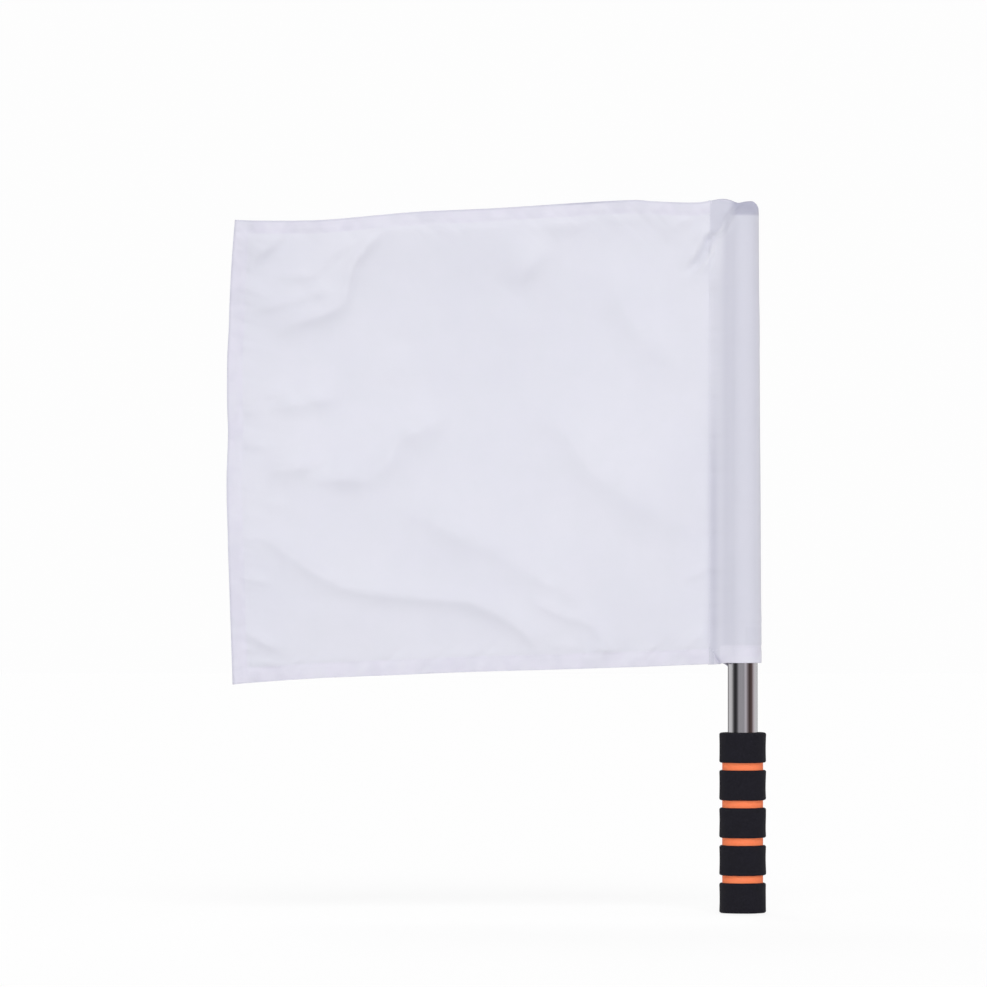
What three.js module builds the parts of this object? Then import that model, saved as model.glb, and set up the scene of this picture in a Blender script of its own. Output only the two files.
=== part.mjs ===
// A linesman's flag: a hemmed cloth panel with a sewn pocket that turns on a steel tube with a foam grip.
// Millimetres, +Z up along the tube. The origin is the middle of the flat butt end.
// The cloth reaches out along -X and its front looks along -Y.
import * as THREE from 'three';

// Steel tube
const tubeDiameter = 19.5;
const tubeWall = 0.8;

// End plugs of the tube
const plugHeadHeight = 2;
const plugHeadEdge = 0.6;
const plugStemLength = 13;
const plugStemWall = 1.6;
const plugFinHeight = 1.4;
const plugFinDepth = 0.9;
const plugFinCount = 3;

// Foam grip: black rings over one coloured core
const ringCount = 5;
const ringHeight = 19.7;
const grooveHeight = 4.9;
const coreWall = 3.35;
const ringWall = 1.7;
const ringEdge = 1.3;
const coreInset = 0.8;

// Cloth
const clothThickness = 0.6;
const hemThickness = 0.5;
const panelWidth = 313;
const panelHeight = 303.6;
const flyDrop = 13;
const flyBulge = 4.6;
const topHemWidth = 9.3;
const bottomHemWidth = 10.8;
const flyHemWidth = 11;
const foldHeight = 2.8;
const foldSpread = 9;
const swayDepth = 7;
const hoistBlend = 34;

// Pocket that holds the tube
const bareTube = 46;
const pocketSlack = 0.45;
const pocketFlare = 1.3;
const pocketShift = 0.5;
const pocketWeb = 8.3;
const pocketSeamWidth = 3;
const seamHalf = 0.65;
const hollowHalf = 0.15;
const pocketHemWidth = 11;
const crownHeight = 9;
const crownWall = 3;
const panelStep = 1.2;
const mouthDip = 4.4;
const mouthDipReach = 6;
const patchHeight = 12;

// Angle about the tube, from +X, at which the layer inside the pocket's mouth starts
const patchStart = THREE.MathUtils.degToRad(-80);

// Clearance between pieces that are glued, sewn or seated together
const seatGap = 0.3;

// Facets
const roundSteps = 40;
const edgeSteps = 2;
const arcSteps = 20;
const webSteps = 4;
const patchSteps = 5;
const pocketLevels = 7;
const panelColumns = 24;
const panelRows = 20;

// Sizes that follow from those above
const tubeRadius = tubeDiameter / 2;
const coreRadius = tubeRadius + seatGap + coreWall;
const ringBore = coreRadius + seatGap;
const ringRadius = ringBore + ringWall;
const gripHeight = ringCount * ringHeight + (ringCount - 1) * grooveHeight;
const pocketBottom = gripHeight + bareTube;
const pocketDepth = panelHeight - crownHeight - panelStep;
const tipTop = pocketBottom + pocketDepth;
const hollowRadiusTop = tubeRadius + pocketSlack;
const hollowRadiusBottom = hollowRadiusTop + pocketFlare;
const seamX = -(hollowRadiusBottom + clothThickness + pocketWeb);
const hoistTop = tipTop + crownHeight;
const hoistBottom = hoistTop - panelHeight;

// Height of the panel's top and bottom edges below the hoist: place across the panel, share of the fly's drop
const topEdgeShares = [
  [0, 0], [0.035, 0.1], [0.12, 0.04], [0.16, -0.03], [0.285, 0.12], [0.45, 0.38],
  [0.62, 0.58], [0.745, 0.85], [0.83, 1], [0.95, 1.01], [1, 0.96],
];
const bottomEdgeShares = [
  [0, 0], [0.16, 0.15], [0.33, 0.28], [0.5, 0.4], [0.66, 0.56], [0.83, 0.72], [0.96, 0.93], [1, 1.02],
];

// Ridge of the pocket's closed top: place from the seam to the far side, share of the crown's height
const crownEdgeShares = [
  [0, 1], [0.18, 1.11], [0.285, 1.11], [0.39, 1.04], [0.56, 0.83], [0.69, 0.9], [0.86, 0.945], [0.94, 0.92], [1, 0.8],
];

// How the pocket draws together above the tube: rise, thickness and reach, each as a share
const crownShares = [[0.3, 0.9, 0.99], [0.55, 0.68, 0.96], [0.8, 0.36, 0.88], [1, 0, 0.76]];

// Creases of the panel: places across and up it, and the height of each as a share of foldHeight
const creases = [
  {
    throughShares: [[0.97, 0.307], [0.904, 0.29], [0.784, 0.195], [0.676, 0.168], [0.479, 0.144], [0.369, 0.054]],
    heightShare: 1,
  },
  { throughShares: [[0.562, 0.282], [0.438, 0.229], [0.344, 0.187], [0.266, 0.137]], heightShare: 0.8 },
  { throughShares: [[0.365, 0.151], [0.303, 0.112], [0.23, 0.078]], heightShare: 0.7 },
  { throughShares: [[0.69, 0.935], [0.744, 0.875], [0.769, 0.811], [0.894, 0.762]], heightShare: 1 },
  { throughShares: [[0.8, 0.421], [0.717, 0.418], [0.655, 0.466], [0.562, 0.526]], heightShare: 0.8 },
  { throughShares: [[0.898, 0.453], [0.831, 0.462]], heightShare: 0.8 },
  { throughShares: [[0.417, 0.515], [0.321, 0.493], [0.261, 0.415], [0.189, 0.348], [0.075, 0.282]], heightShare: 0.7 },
  { throughShares: [[0.017, 0.917], [0.044, 0.88], [0.071, 0.832]], heightShare: 1 },
  { throughShares: [[0.769, 0.835], [0.852, 0.837], [0.966, 0.806]], heightShare: -0.5 },
  { throughShares: [[0.365, 0.878], [0.396, 0.841]], heightShare: -0.6 },
];

// The panel's long soft waves: how many across it, and how far they lean with height, in turns
const swayShares = { across: 1.15, lean: 0.35, start: 0.08 };

const steel = new THREE.MeshStandardMaterial({ color: 0x9c9ca2, roughness: 0.22, metalness: 1 });
const plugPlastic = new THREE.MeshStandardMaterial({ color: 0x1c1c1f, roughness: 0.5, metalness: 0 });
const coreFoam = new THREE.MeshStandardMaterial({ color: 0xf78761, roughness: 0.85, metalness: 0 });
const ringFoam = new THREE.MeshStandardMaterial({ color: 0x26252c, roughness: 0.9, metalness: 0 });
const polyester = new THREE.MeshStandardMaterial({ color: 0xe3e3ee, roughness: 0.7, metalness: 0 });
const hemPolyester = new THREE.MeshStandardMaterial({ color: 0xe8e8f3, roughness: 0.7, metalness: 0 });

/** A smooth curve through a table of [place, value] pairs. */
function curveOf(pairs) {
  const places = pairs.map(([place]) => place);
  const values = pairs.map(([, value]) => value);
  const curve = new THREE.CubicInterpolant(places, values, 1);
  return (place) => curve.evaluate(place)[0];
}

/** A solid turned about the tube's axis from a closed outline of (radius, height) points. */
function turned(outline) {
  const geometry = new THREE.LatheGeometry([...outline, outline[0]], roundSteps);
  geometry.rotateX(Math.PI / 2);
  return geometry;
}

/** Outline of a ring about the axis, with its two outer edges rounded. */
function ringOutline(bore, radius, bottom, top, edge) {
  const outline = new THREE.Path();
  outline.moveTo(bore, bottom);
  outline.lineTo(radius - edge, bottom);
  outline.absarc(radius - edge, bottom + edge, edge, -Math.PI / 2, 0, false);
  outline.lineTo(radius, top - edge);
  outline.absarc(radius - edge, top - edge, edge, 0, Math.PI / 2, false);
  outline.lineTo(bore, top);
  return outline.getPoints(edgeSteps);
}

/** Skins a row of matching point loops, split alike on both sides: capped at both ends, or joined end to end. */
function loft(loops, joined) {
  const count = loops[0].length;
  const positions = loops.flat().flatMap((point) => point.toArray());
  const faces = [];
  const stretches = joined ? loops.length : loops.length - 1;
  for (let loop = 0; loop < stretches; loop += 1) {
    const near = loop * count;
    const far = ((loop + 1) % loops.length) * count;
    for (let i = 0; i < count; i += 1) {
      const next = (i + 1) % count;
      const [a, b, c, d] = [near + i, near + next, far + next, far + i];
      const mirrored = 2 * i >= count;
      faces.push(...(mirrored ? [a, b, d, b, c, d] : [a, b, c, a, c, d]));
    }
  }
  if (!joined) {
    capAcross(faces, 0, count, true);
    capAcross(faces, (loops.length - 1) * count, count, false);
  }
  const geometry = new THREE.BufferGeometry();
  geometry.setAttribute('position', new THREE.Float32BufferAttribute(positions, 3));
  geometry.setIndex(faces);
  geometry.computeVertexNormals();
  return geometry;
}

/** Closes one loop by strips between the points that mirror each other across it. */
function capAcross(faces, first, count, flipped) {
  const add = (a, b, c) => {
    if (flipped) {
      faces.push(first + a, first + c, first + b);
    } else {
      faces.push(first + a, first + b, first + c);
    }
  };
  for (let i = 0; 2 * (i + 1) < count; i += 1) {
    const mirror = count - 1 - i;
    add(i, i + 1, mirror);
    if (mirror - 1 > i + 1) {
      add(i + 1, mirror - 1, mirror);
    }
  }
}

/** Height in front of the sheet that the creases and soft waves give one place of the panel. */
function panelLift(across, up) {
  const place = new THREE.Vector3(across * panelWidth, up * panelHeight, 0);
  const nearest = new THREE.Vector3();
  let lift = 0;
  for (const { throughShares, heightShare } of creases) {
    const route = throughShares.map(([x, z]) => new THREE.Vector3(x * panelWidth, z * panelHeight, 0));
    let distance = Infinity;
    for (let i = 1; i < route.length; i += 1) {
      new THREE.Line3(route[i - 1], route[i]).closestPointToPoint(place, true, nearest);
      distance = Math.min(distance, nearest.distanceTo(place));
    }
    lift += foldHeight * heightShare * Math.exp(-((distance / foldSpread) ** 2));
  }
  const turn = swayShares.across * across + swayShares.lean * up + swayShares.start;
  lift += swayDepth * across * Math.sin(2 * Math.PI * turn);
  return lift * THREE.MathUtils.smoothstep(across * panelWidth, 0, hoistBlend);
}

const topEdge = curveOf(topEdgeShares);
const bottomEdge = curveOf(bottomEdgeShares);

/** A point of the cloth panel, set back from its front by a depth. */
function panelPoint(across, up, back) {
  const top = hoistTop - flyDrop * topEdge(across);
  const bottom = hoistBottom - flyDrop * bottomEdge(across);
  const bulge = flyBulge * (1 - (2 * up - 1) ** 2);
  const x = seamX - seatGap - across * (panelWidth + bulge);
  const y = back - clothThickness / 2 - panelLift(across, up);
  return new THREE.Vector3(x, y, THREE.MathUtils.lerp(bottom, top, up));
}

/** A strip or sheet of the panel between given places across and up it. */
function sheet(acrossPlaces, upPlaces, back, thickness) {
  const loops = acrossPlaces.map((across) => [
    ...upPlaces.map((up) => panelPoint(across, up, back)),
    ...[...upPlaces].reverse().map((up) => panelPoint(across, up, back + thickness)),
  ]);
  return loft(loops, false);
}

/** Even places from one share to another. */
function placesBetween(from, to, steps) {
  return Array.from({ length: steps + 1 }, (_, i) => THREE.MathUtils.lerp(from, to, i / steps));
}

const bottomHemTop = bottomHemWidth / panelHeight;
const topHemBottom = 1 - topHemWidth / panelHeight;
const flyHemStart = 1 - flyHemWidth / panelWidth;
const panelAcross = [...placesBetween(0, flyHemStart, panelColumns), 1];
const panelUp = [0, ...placesBetween(bottomHemTop, topHemBottom, panelRows), 1];
const hemBack = clothThickness + seatGap;

function flagPanel() {
  return sheet(panelAcross, panelUp, 0, clothThickness);
}

function topHem() {
  return sheet(panelAcross, [topHemBottom, 1], hemBack, hemThickness);
}

function bottomHem() {
  return sheet(panelAcross, [0, bottomHemTop], hemBack, hemThickness);
}

/** The fly hem ends a seat gap short of the hems above and below it. */
function flyHem() {
  const endGap = seatGap / panelHeight;
  const upPlaces = panelUp.slice(1, -1);
  upPlaces[0] += endGap;
  upPlaces[upPlaces.length - 1] -= endGap;
  return sheet([flyHemStart, 1], upPlaces, hemBack, hemThickness);
}

/** Outline of the pocket from above: from the seam's front corner round the tube to its back corner. */
function pocketOutline(radius, tip, half, shift) {
  const front = new THREE.Vector2(tip - shift, -half);
  const touch = front.angle() + Math.acos(radius / front.length());
  const last = 4 * Math.PI - touch;
  const arc = placesBetween(touch, last, arcSteps).map(
    (angle) => new THREE.Vector2(radius * Math.cos(angle), radius * Math.sin(angle)),
  );
  const back = new THREE.Vector2(tip - shift, half);
  const along = placesBetween(0, 1, webSteps).slice(0, -1);
  const frontWeb = along.map((share) => new THREE.Vector2().lerpVectors(front, arc[0], share));
  const backWeb = along.map((share) => new THREE.Vector2().lerpVectors(back, arc[arcSteps], share));
  return [...frontWeb, ...arc, ...backWeb.reverse()].map((point) => point.setX(point.x + shift));
}

const crownEdge = curveOf(crownEdgeShares);

/** Height of the pocket's mouth: at the back it hangs a little lower beside the tube. */
function mouthHeight(point) {
  const place = THREE.MathUtils.clamp((point.x + tubeRadius) / mouthDipReach, -1, 1);
  const dip = mouthDip * Math.cos((Math.PI / 2) * place) ** 2;
  const backShare = THREE.MathUtils.smoothstep(point.y, 0, tubeRadius / 2);
  const seamShare = THREE.MathUtils.smoothstep(-point.x, tubeRadius, -seamX);
  return pocketBottom - panelStep * seamShare - dip * backShare;
}

/** One loop of the pocket between its mouth and the tube's tip. */
function pocketLoop(wall, tip, half, share) {
  const radius = THREE.MathUtils.lerp(hollowRadiusBottom, hollowRadiusTop, share) + wall;
  return pocketOutline(radius, tip, half, pocketShift * (1 - share)).map((point) => {
    const height = THREE.MathUtils.lerp(mouthHeight(point), tipTop, share);
    return new THREE.Vector3(point.x, point.y, height);
  });
}

/** One loop of the pocket above the tube's tip, drawn together towards its closed top. */
function crownLoop(wall, tip, half, lowered, [rise, thickness, reach]) {
  const radius = hollowRadiusTop + wall;
  return pocketOutline(radius, tip, half, 0).map((point) => {
    const place = (point.x - tip) / (radius - tip);
    const top = tipTop + crownHeight * crownEdge(place) - lowered;
    const kept = Math.min(Math.abs(point.y), half);
    const depth = kept + (Math.abs(point.y) - kept) * thickness;
    const x = point.x > 0 ? point.x * reach : point.x;
    return new THREE.Vector3(x, Math.sign(point.y) * depth, THREE.MathUtils.lerp(tipTop, top, rise));
  });
}

const hollowTip = seamX + pocketSeamWidth;

function poleSleeve() {
  const levels = placesBetween(0, 1, pocketLevels);
  const outside = levels.map((share) => pocketLoop(clothThickness, seamX, seamHalf, share));
  const inside = levels.map((share) => pocketLoop(0, hollowTip, hollowHalf, share));
  const outsideCrown = crownShares.map((row) => crownLoop(clothThickness, seamX, seamHalf, 0, row));
  const insideCrown = crownShares.map((row) => crownLoop(0, hollowTip, hollowHalf, crownWall, row));
  const hollow = [...inside, ...insideCrown].reverse();
  return loft([...hollow, ...outside, ...outsideCrown], false);
}

/** Tip of an outline that lies inside the pocket's hollow by an even distance. */
function insetTip(tip, radius, inset) {
  return tip + inset * (-tip / radius);
}

/** The pocket's mouth has its edge turned in: a second layer just inside the first. */
function sleeveBottomHem() {
  const hemShare = pocketHemWidth / pocketDepth;
  const outerTip = insetTip(hollowTip, hollowRadiusBottom, seatGap);
  const innerTip = insetTip(hollowTip, hollowRadiusBottom, seatGap + hemThickness);
  const layer = (inset, tip, share) => pocketLoop(-inset, tip, hollowHalf, share);
  const start = seatGap / pocketDepth;
  const loops = [
    layer(seatGap, outerTip, start),
    layer(seatGap, outerTip, hemShare),
    layer(seatGap + hemThickness, innerTip, hemShare),
    layer(seatGap + hemThickness, innerTip, start),
  ];
  return loft(loops, true);
}

/** A small second layer inside the pocket's front, just above the hem of its mouth. */
function mouthPatch() {
  const bottomShare = (pocketHemWidth + seatGap) / pocketDepth;
  const topShare = (pocketHemWidth + seatGap + patchHeight) / pocketDepth;
  const corner = (share, inset, angle) => {
    const radius = THREE.MathUtils.lerp(hollowRadiusBottom, hollowRadiusTop, share) - inset;
    const middle = pocketShift * (1 - share);
    const height = pocketBottom + share * pocketDepth;
    return new THREE.Vector3(middle + radius * Math.cos(angle), radius * Math.sin(angle), height);
  };
  const loops = placesBetween(patchStart, 0, patchSteps).map((angle) => [
    corner(topShare, seatGap, angle),
    corner(bottomShare, seatGap, angle),
    corner(bottomShare, seatGap + hemThickness, angle),
    corner(topShare, seatGap + hemThickness, angle),
  ]);
  return loft(loops, false);
}

function poleTube() {
  const bottom = plugHeadHeight + seatGap;
  const top = tipTop - plugHeadHeight - seatGap;
  const bore = tubeRadius - tubeWall;
  return turned([
    new THREE.Vector2(bore, bottom),
    new THREE.Vector2(tubeRadius, bottom),
    new THREE.Vector2(tubeRadius, top),
    new THREE.Vector2(bore, top),
  ]);
}

/** A push-in end plug, head down, with fins that grip the tube's bore and a hollow stem open at its end. */
function endPlug() {
  const finRadius = tubeRadius - tubeWall - seatGap;
  const stemRadius = finRadius - plugFinDepth;
  const stemBore = stemRadius - plugStemWall;
  const end = plugHeadHeight + plugStemLength;
  const pitch = plugStemLength / (plugFinCount + 1);
  const outline = [
    new THREE.Vector2(0, 0),
    new THREE.Vector2(tubeRadius - plugHeadEdge, 0),
    new THREE.Vector2(tubeRadius, plugHeadEdge),
    new THREE.Vector2(tubeRadius, plugHeadHeight),
    new THREE.Vector2(stemRadius, plugHeadHeight),
  ];
  for (let fin = 1; fin <= plugFinCount; fin += 1) {
    const middle = plugHeadHeight + fin * pitch;
    outline.push(new THREE.Vector2(stemRadius, middle - plugFinHeight / 2));
    outline.push(new THREE.Vector2(finRadius, middle - plugFinHeight / 4));
    outline.push(new THREE.Vector2(finRadius, middle + plugFinHeight / 4));
    outline.push(new THREE.Vector2(stemRadius, middle + plugFinHeight / 2));
  }
  outline.push(new THREE.Vector2(stemRadius, end));
  outline.push(new THREE.Vector2(stemBore, end));
  outline.push(new THREE.Vector2(stemBore, plugHeadHeight));
  outline.push(new THREE.Vector2(0, plugHeadHeight));
  const geometry = new THREE.LatheGeometry(outline, roundSteps);
  geometry.rotateX(Math.PI / 2);
  return geometry;
}

function tipPlug() {
  const geometry = endPlug();
  geometry.rotateX(Math.PI);
  geometry.translate(0, 0, tipTop);
  return geometry;
}

function gripCore() {
  const bore = tubeRadius + seatGap;
  return turned(ringOutline(bore, coreRadius, coreInset / 2, gripHeight - coreInset, ringEdge / 2));
}

function gripRing(place) {
  const bottom = place * (ringHeight + grooveHeight);
  return turned(ringOutline(ringBore, ringRadius, bottom, bottom + ringHeight, ringEdge));
}

const flag = new THREE.Group();

function add(name, geometry, material) {
  const mesh = new THREE.Mesh(geometry, material);
  mesh.name = name;
  flag.add(mesh);
}

add('pole_tube', poleTube(), steel);
add('butt_plug', endPlug(), plugPlastic);
add('tip_plug', tipPlug(), plugPlastic);
add('grip_core', gripCore(), coreFoam);
for (let place = 0; place < ringCount; place += 1) {
  add(`grip_ring_${place + 1}`, gripRing(place), ringFoam);
}
add('pole_sleeve', poleSleeve(), polyester);
add('sleeve_bottom_hem', sleeveBottomHem(), hemPolyester);
add('mouth_patch', mouthPatch(), hemPolyester);
add('flag_panel', flagPanel(), polyester);
add('top_hem', topHem(), hemPolyester);
add('bottom_hem', bottomHem(), hemPolyester);
add('fly_hem', flyHem(), hemPolyester);

export default flag;
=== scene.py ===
import math

import bpy
import numpy as np
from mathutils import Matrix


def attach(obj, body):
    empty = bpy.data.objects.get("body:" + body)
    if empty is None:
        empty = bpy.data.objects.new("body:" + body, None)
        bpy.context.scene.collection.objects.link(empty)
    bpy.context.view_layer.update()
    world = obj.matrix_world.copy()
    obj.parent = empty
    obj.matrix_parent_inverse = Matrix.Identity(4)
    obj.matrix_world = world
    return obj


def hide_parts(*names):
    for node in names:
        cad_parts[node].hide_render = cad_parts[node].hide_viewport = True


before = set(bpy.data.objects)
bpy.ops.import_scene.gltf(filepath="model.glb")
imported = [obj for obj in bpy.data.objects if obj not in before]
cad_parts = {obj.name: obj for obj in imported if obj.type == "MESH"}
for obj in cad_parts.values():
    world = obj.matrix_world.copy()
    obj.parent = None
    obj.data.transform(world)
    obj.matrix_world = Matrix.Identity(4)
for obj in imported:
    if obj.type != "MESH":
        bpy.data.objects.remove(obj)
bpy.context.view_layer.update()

# Sizes in metres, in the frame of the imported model

# Steel tube and its end plugs
TUBE_RADIUS = 0.00975
TUBE_WALL = 0.0008
TUBE_EDGE = 0.00025
PLUG_HEAD = 0.002
PLUG_EDGE = 0.0006
PLUG_DISH = 0.0004
PLUG_DISH_RADIUS = 0.0066
PLUG_STEM = 0.013
PLUG_STEM_RADIUS = 0.00775
SEAT_GAP = 0.0003

# Foam grip
RING_COUNT = 5
RING_HEIGHT = 0.0197
GROOVE_HEIGHT = 0.0049
RING_EDGE = 0.0014
RING_WALL = 0.0017
RING_FLARE = 0.00025
RING_UNEVEN = 0.00012
CORE_WALL = 0.00335
CORE_INSET = 0.0004
CORE_EDGE = 0.0006
CORE_UNEVEN = 0.00008
UNEVEN_PITCH = 0.009

# Cloth panel
CLOTH = 0.00025
LAYER_STEP = 0.00045
PANEL_WIDTH = 0.313
PANEL_HEIGHT = 0.3036
HOIST_TUCK = 0.0056
HOIST_INSIDE = 0.003
HOIST_TOP_SHARE = 0.1
FLY_DROP = 0.013
FLY_BULGE = 0.0046
TOP_HEM = 0.0093
BOTTOM_HEM = 0.0108
FLY_HEM = 0.011
CORNER_BLEND = 0.003
SWAY = 0.007
SWELL = 0.0042
HOIST_BLEND = 0.034
CREASE_HEIGHT = 0.00235
CREASE_FLANK = 0.01
CREASE_TAPER = 0.014
CREASE_END = 0.008
ROUTE_BLEND = 0.0015
HEM_PUFF = 0.00022
STITCH_SINK = 0.0004
STITCH_SINK_HALF = 0.0009
STITCH_INSET = 0.0013
PUCKER_HEIGHT = 0.0007
PUCKER_PITCH = 0.0085
PUCKER_REACH = 0.007
PUCKER_LEAN = 1.1
PUCKER_FINENESS = 2.3
PINCH_PITCH = 0.012
PINCH_DEPTH = 0.0007
PINCH_SHARPNESS = 6
PINCH_PATCH_SHARES = (-0.2, 0.6)
RUMPLE_HEIGHT = 0.0003
RUMPLE_PITCH = 0.024
RUMPLE_FINENESS = 2.6
BILLOW_HEIGHT = 0.0012
BILLOW_PITCH = 0.07
PANEL_CELL = 0.0015

# Pocket round the tube
BARE_TUBE = 0.046
POCKET_SLACK = 0.00045
POCKET_FLARE = 0.0013
POCKET_SHIFT = 0.0005
POCKET_WEB = 0.0083
WEB_BOW = 0.0005
FLAP = 0.0022
FLAP_STAND = 0.0003
LAP_WIDTH = 0.0056
LAP_HEIGHT = 0.0082
LAP_SLOPE = 0.95
MOUTH_HEM = 0.011
MOUTH_HEM_BLEND = 0.0033
MOUTH_DIP = 0.005
MOUTH_DIP_PLACE = 0.0055
MOUTH_DIP_REACH = 0.0085
CROWN_HEIGHT = 0.009
CROWN_BAND = 0.0045
PANEL_STEP = 0.0012
PATCH_HEIGHT = 0.012
PATCH_RELIEF = 0.0003
PATCH_BLEND = 0.0006
PATCH_FOLD = 0.0007
PATCH_FOLD_RISE = 0.0045
POCKET_CELL = 0.0015

# Sewing thread
THREAD_RADIUS = 0.00013
STITCH_PITCH = 0.0026

# Places along each stitch and its height there, as shares of the pitch and of the thread's radius
STITCH_SHARES = ((0.08, -1.2), (0.2, 0.5), (0.5, 0.8), (0.8, 0.5), (0.92, -1.2))

# Camera, floor and screen
CAMERA_DISTANCE = 6.0
VIEW_CENTRE = (-0.1632, 0.2746)
VIEW_WIDTH = 0.6465
SENSOR_WIDTH = 36
FLOOR_HALF = 8.0
FLOOR_DROP = 0.0005
SCREEN_DISTANCE = 0.42
SCREEN_TOP = 0.7

# Sizes that follow from those above
CORE_BORE = TUBE_RADIUS + SEAT_GAP
CORE_RADIUS = CORE_BORE + CORE_WALL
RING_BORE = CORE_RADIUS + SEAT_GAP
RING_RADIUS = RING_BORE + RING_WALL
GRIP_HEIGHT = RING_COUNT * RING_HEIGHT + (RING_COUNT - 1) * GROOVE_HEIGHT
POCKET_BOTTOM = GRIP_HEIGHT + BARE_TUBE
POCKET_DEPTH = PANEL_HEIGHT - CROWN_HEIGHT - PANEL_STEP
TIP_TOP = POCKET_BOTTOM + POCKET_DEPTH
CAD_CLOTH = 2 * SEAT_GAP
FOLD_REACH = (LAYER_STEP + CLOTH) / 2
RADIUS_TOP = TUBE_RADIUS + POCKET_SLACK + SEAT_GAP
RADIUS_BOTTOM = RADIUS_TOP + POCKET_FLARE
SEAM_X = -(RADIUS_BOTTOM - SEAT_GAP + CAD_CLOTH + POCKET_WEB)
PANEL_START = SEAM_X - SEAT_GAP
HOIST_TOP = TIP_TOP + CROWN_HEIGHT
HOIST_BOTTOM = HOIST_TOP - PANEL_HEIGHT

# Facets
ROUND_STEPS = 128
EDGE_STEPS = 6
FOLD_STEPS = 4
HOIST_TUCK_STEPS = 5
WEB_STEPS = 12
ARC_STEPS = 64
CROWN_STEPS = 12
ROUTE_STEPS = 8
THREAD_SIDES = 6
SCREEN_STEPS = 180

# Knots and seeds of the noises; a hem's finer puckers and its pinches are a step on from its own seed
RIPPLE_KNOTS = 512
RUMPLE_KNOTS = 256
RUMPLE_SEEDS = (3, 4)
POCKET_WAVE_SEED = 5
BILLOW_SEED = 6
HEM_SEEDS = (11, 12, 13)
HEM_SEED_STEPS = {"finer puckers": 50, "pinches": 70, "patches of pinches": 80}
SEAM_SEEDS = (14, 15)
POCKET_PUCKER_SEED = 21
CORE_SEED = 31
RING_SEED = 41

# Height of the panel's top and bottom edges below the hoist: place across, share of the fly's drop
TOP_EDGE_SHARES = (
    (0, 0), (0.035, 0.1), (0.12, 0.04), (0.16, -0.03), (0.285, 0.12), (0.45, 0.38),
    (0.62, 0.58), (0.745, 0.85), (0.83, 1), (0.95, 1.01), (1, 0.96),
)
BOTTOM_EDGE_SHARES = (
    (0, 0), (0.16, 0.15), (0.33, 0.28), (0.5, 0.4), (0.66, 0.56), (0.83, 0.72), (0.96, 0.93), (1, 1.02),
)

# The fly edge: place up the panel, share of its bulge
FLY_EDGE_SHARES = (
    (0, -0.02), (0.06, 0.09), (0.12, 0.22), (0.17, 0.33), (0.23, 0.46), (0.28, 0.58), (0.33, 0.66),
    (0.385, 0.79), (0.44, 0.84), (0.49, 0.74), (0.545, 0.65), (0.6, 0.79), (0.655, 0.82), (0.71, 0.78),
    (0.76, 0.61), (0.815, 0.49), (0.87, 0.33), (0.92, 0.13), (0.975, -0.15), (1, -0.3),
)

# Ridge of the pocket's closed top: place from the seam to the far side, share of the crown's height
CROWN_EDGE_SHARES = (
    (0, 1), (0.18, 1.11), (0.285, 1.11), (0.39, 1.04), (0.56, 0.83), (0.69, 0.9), (0.86, 0.945), (0.94, 0.92),
    (1, 0.8),
)

# How the pocket draws together above the tube: rise, then thickness and reach
CROWN_THICKNESS_SHARES = ((0, 1), (0.18, 0.86), (0.4, 0.5), (0.65, 0.2), (0.85, 0.07), (1, 0))
CROWN_REACH_SHARES = ((0, 1), (0.3, 0.99), (0.55, 0.97), (0.8, 0.9), (1, 0.78))

# The panel's long soft waves: how many across it, and how far they lean with height, in turns
SWAY_SHARES = {"across": 1.15, "lean": 0.35, "start": 0.08}

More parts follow.
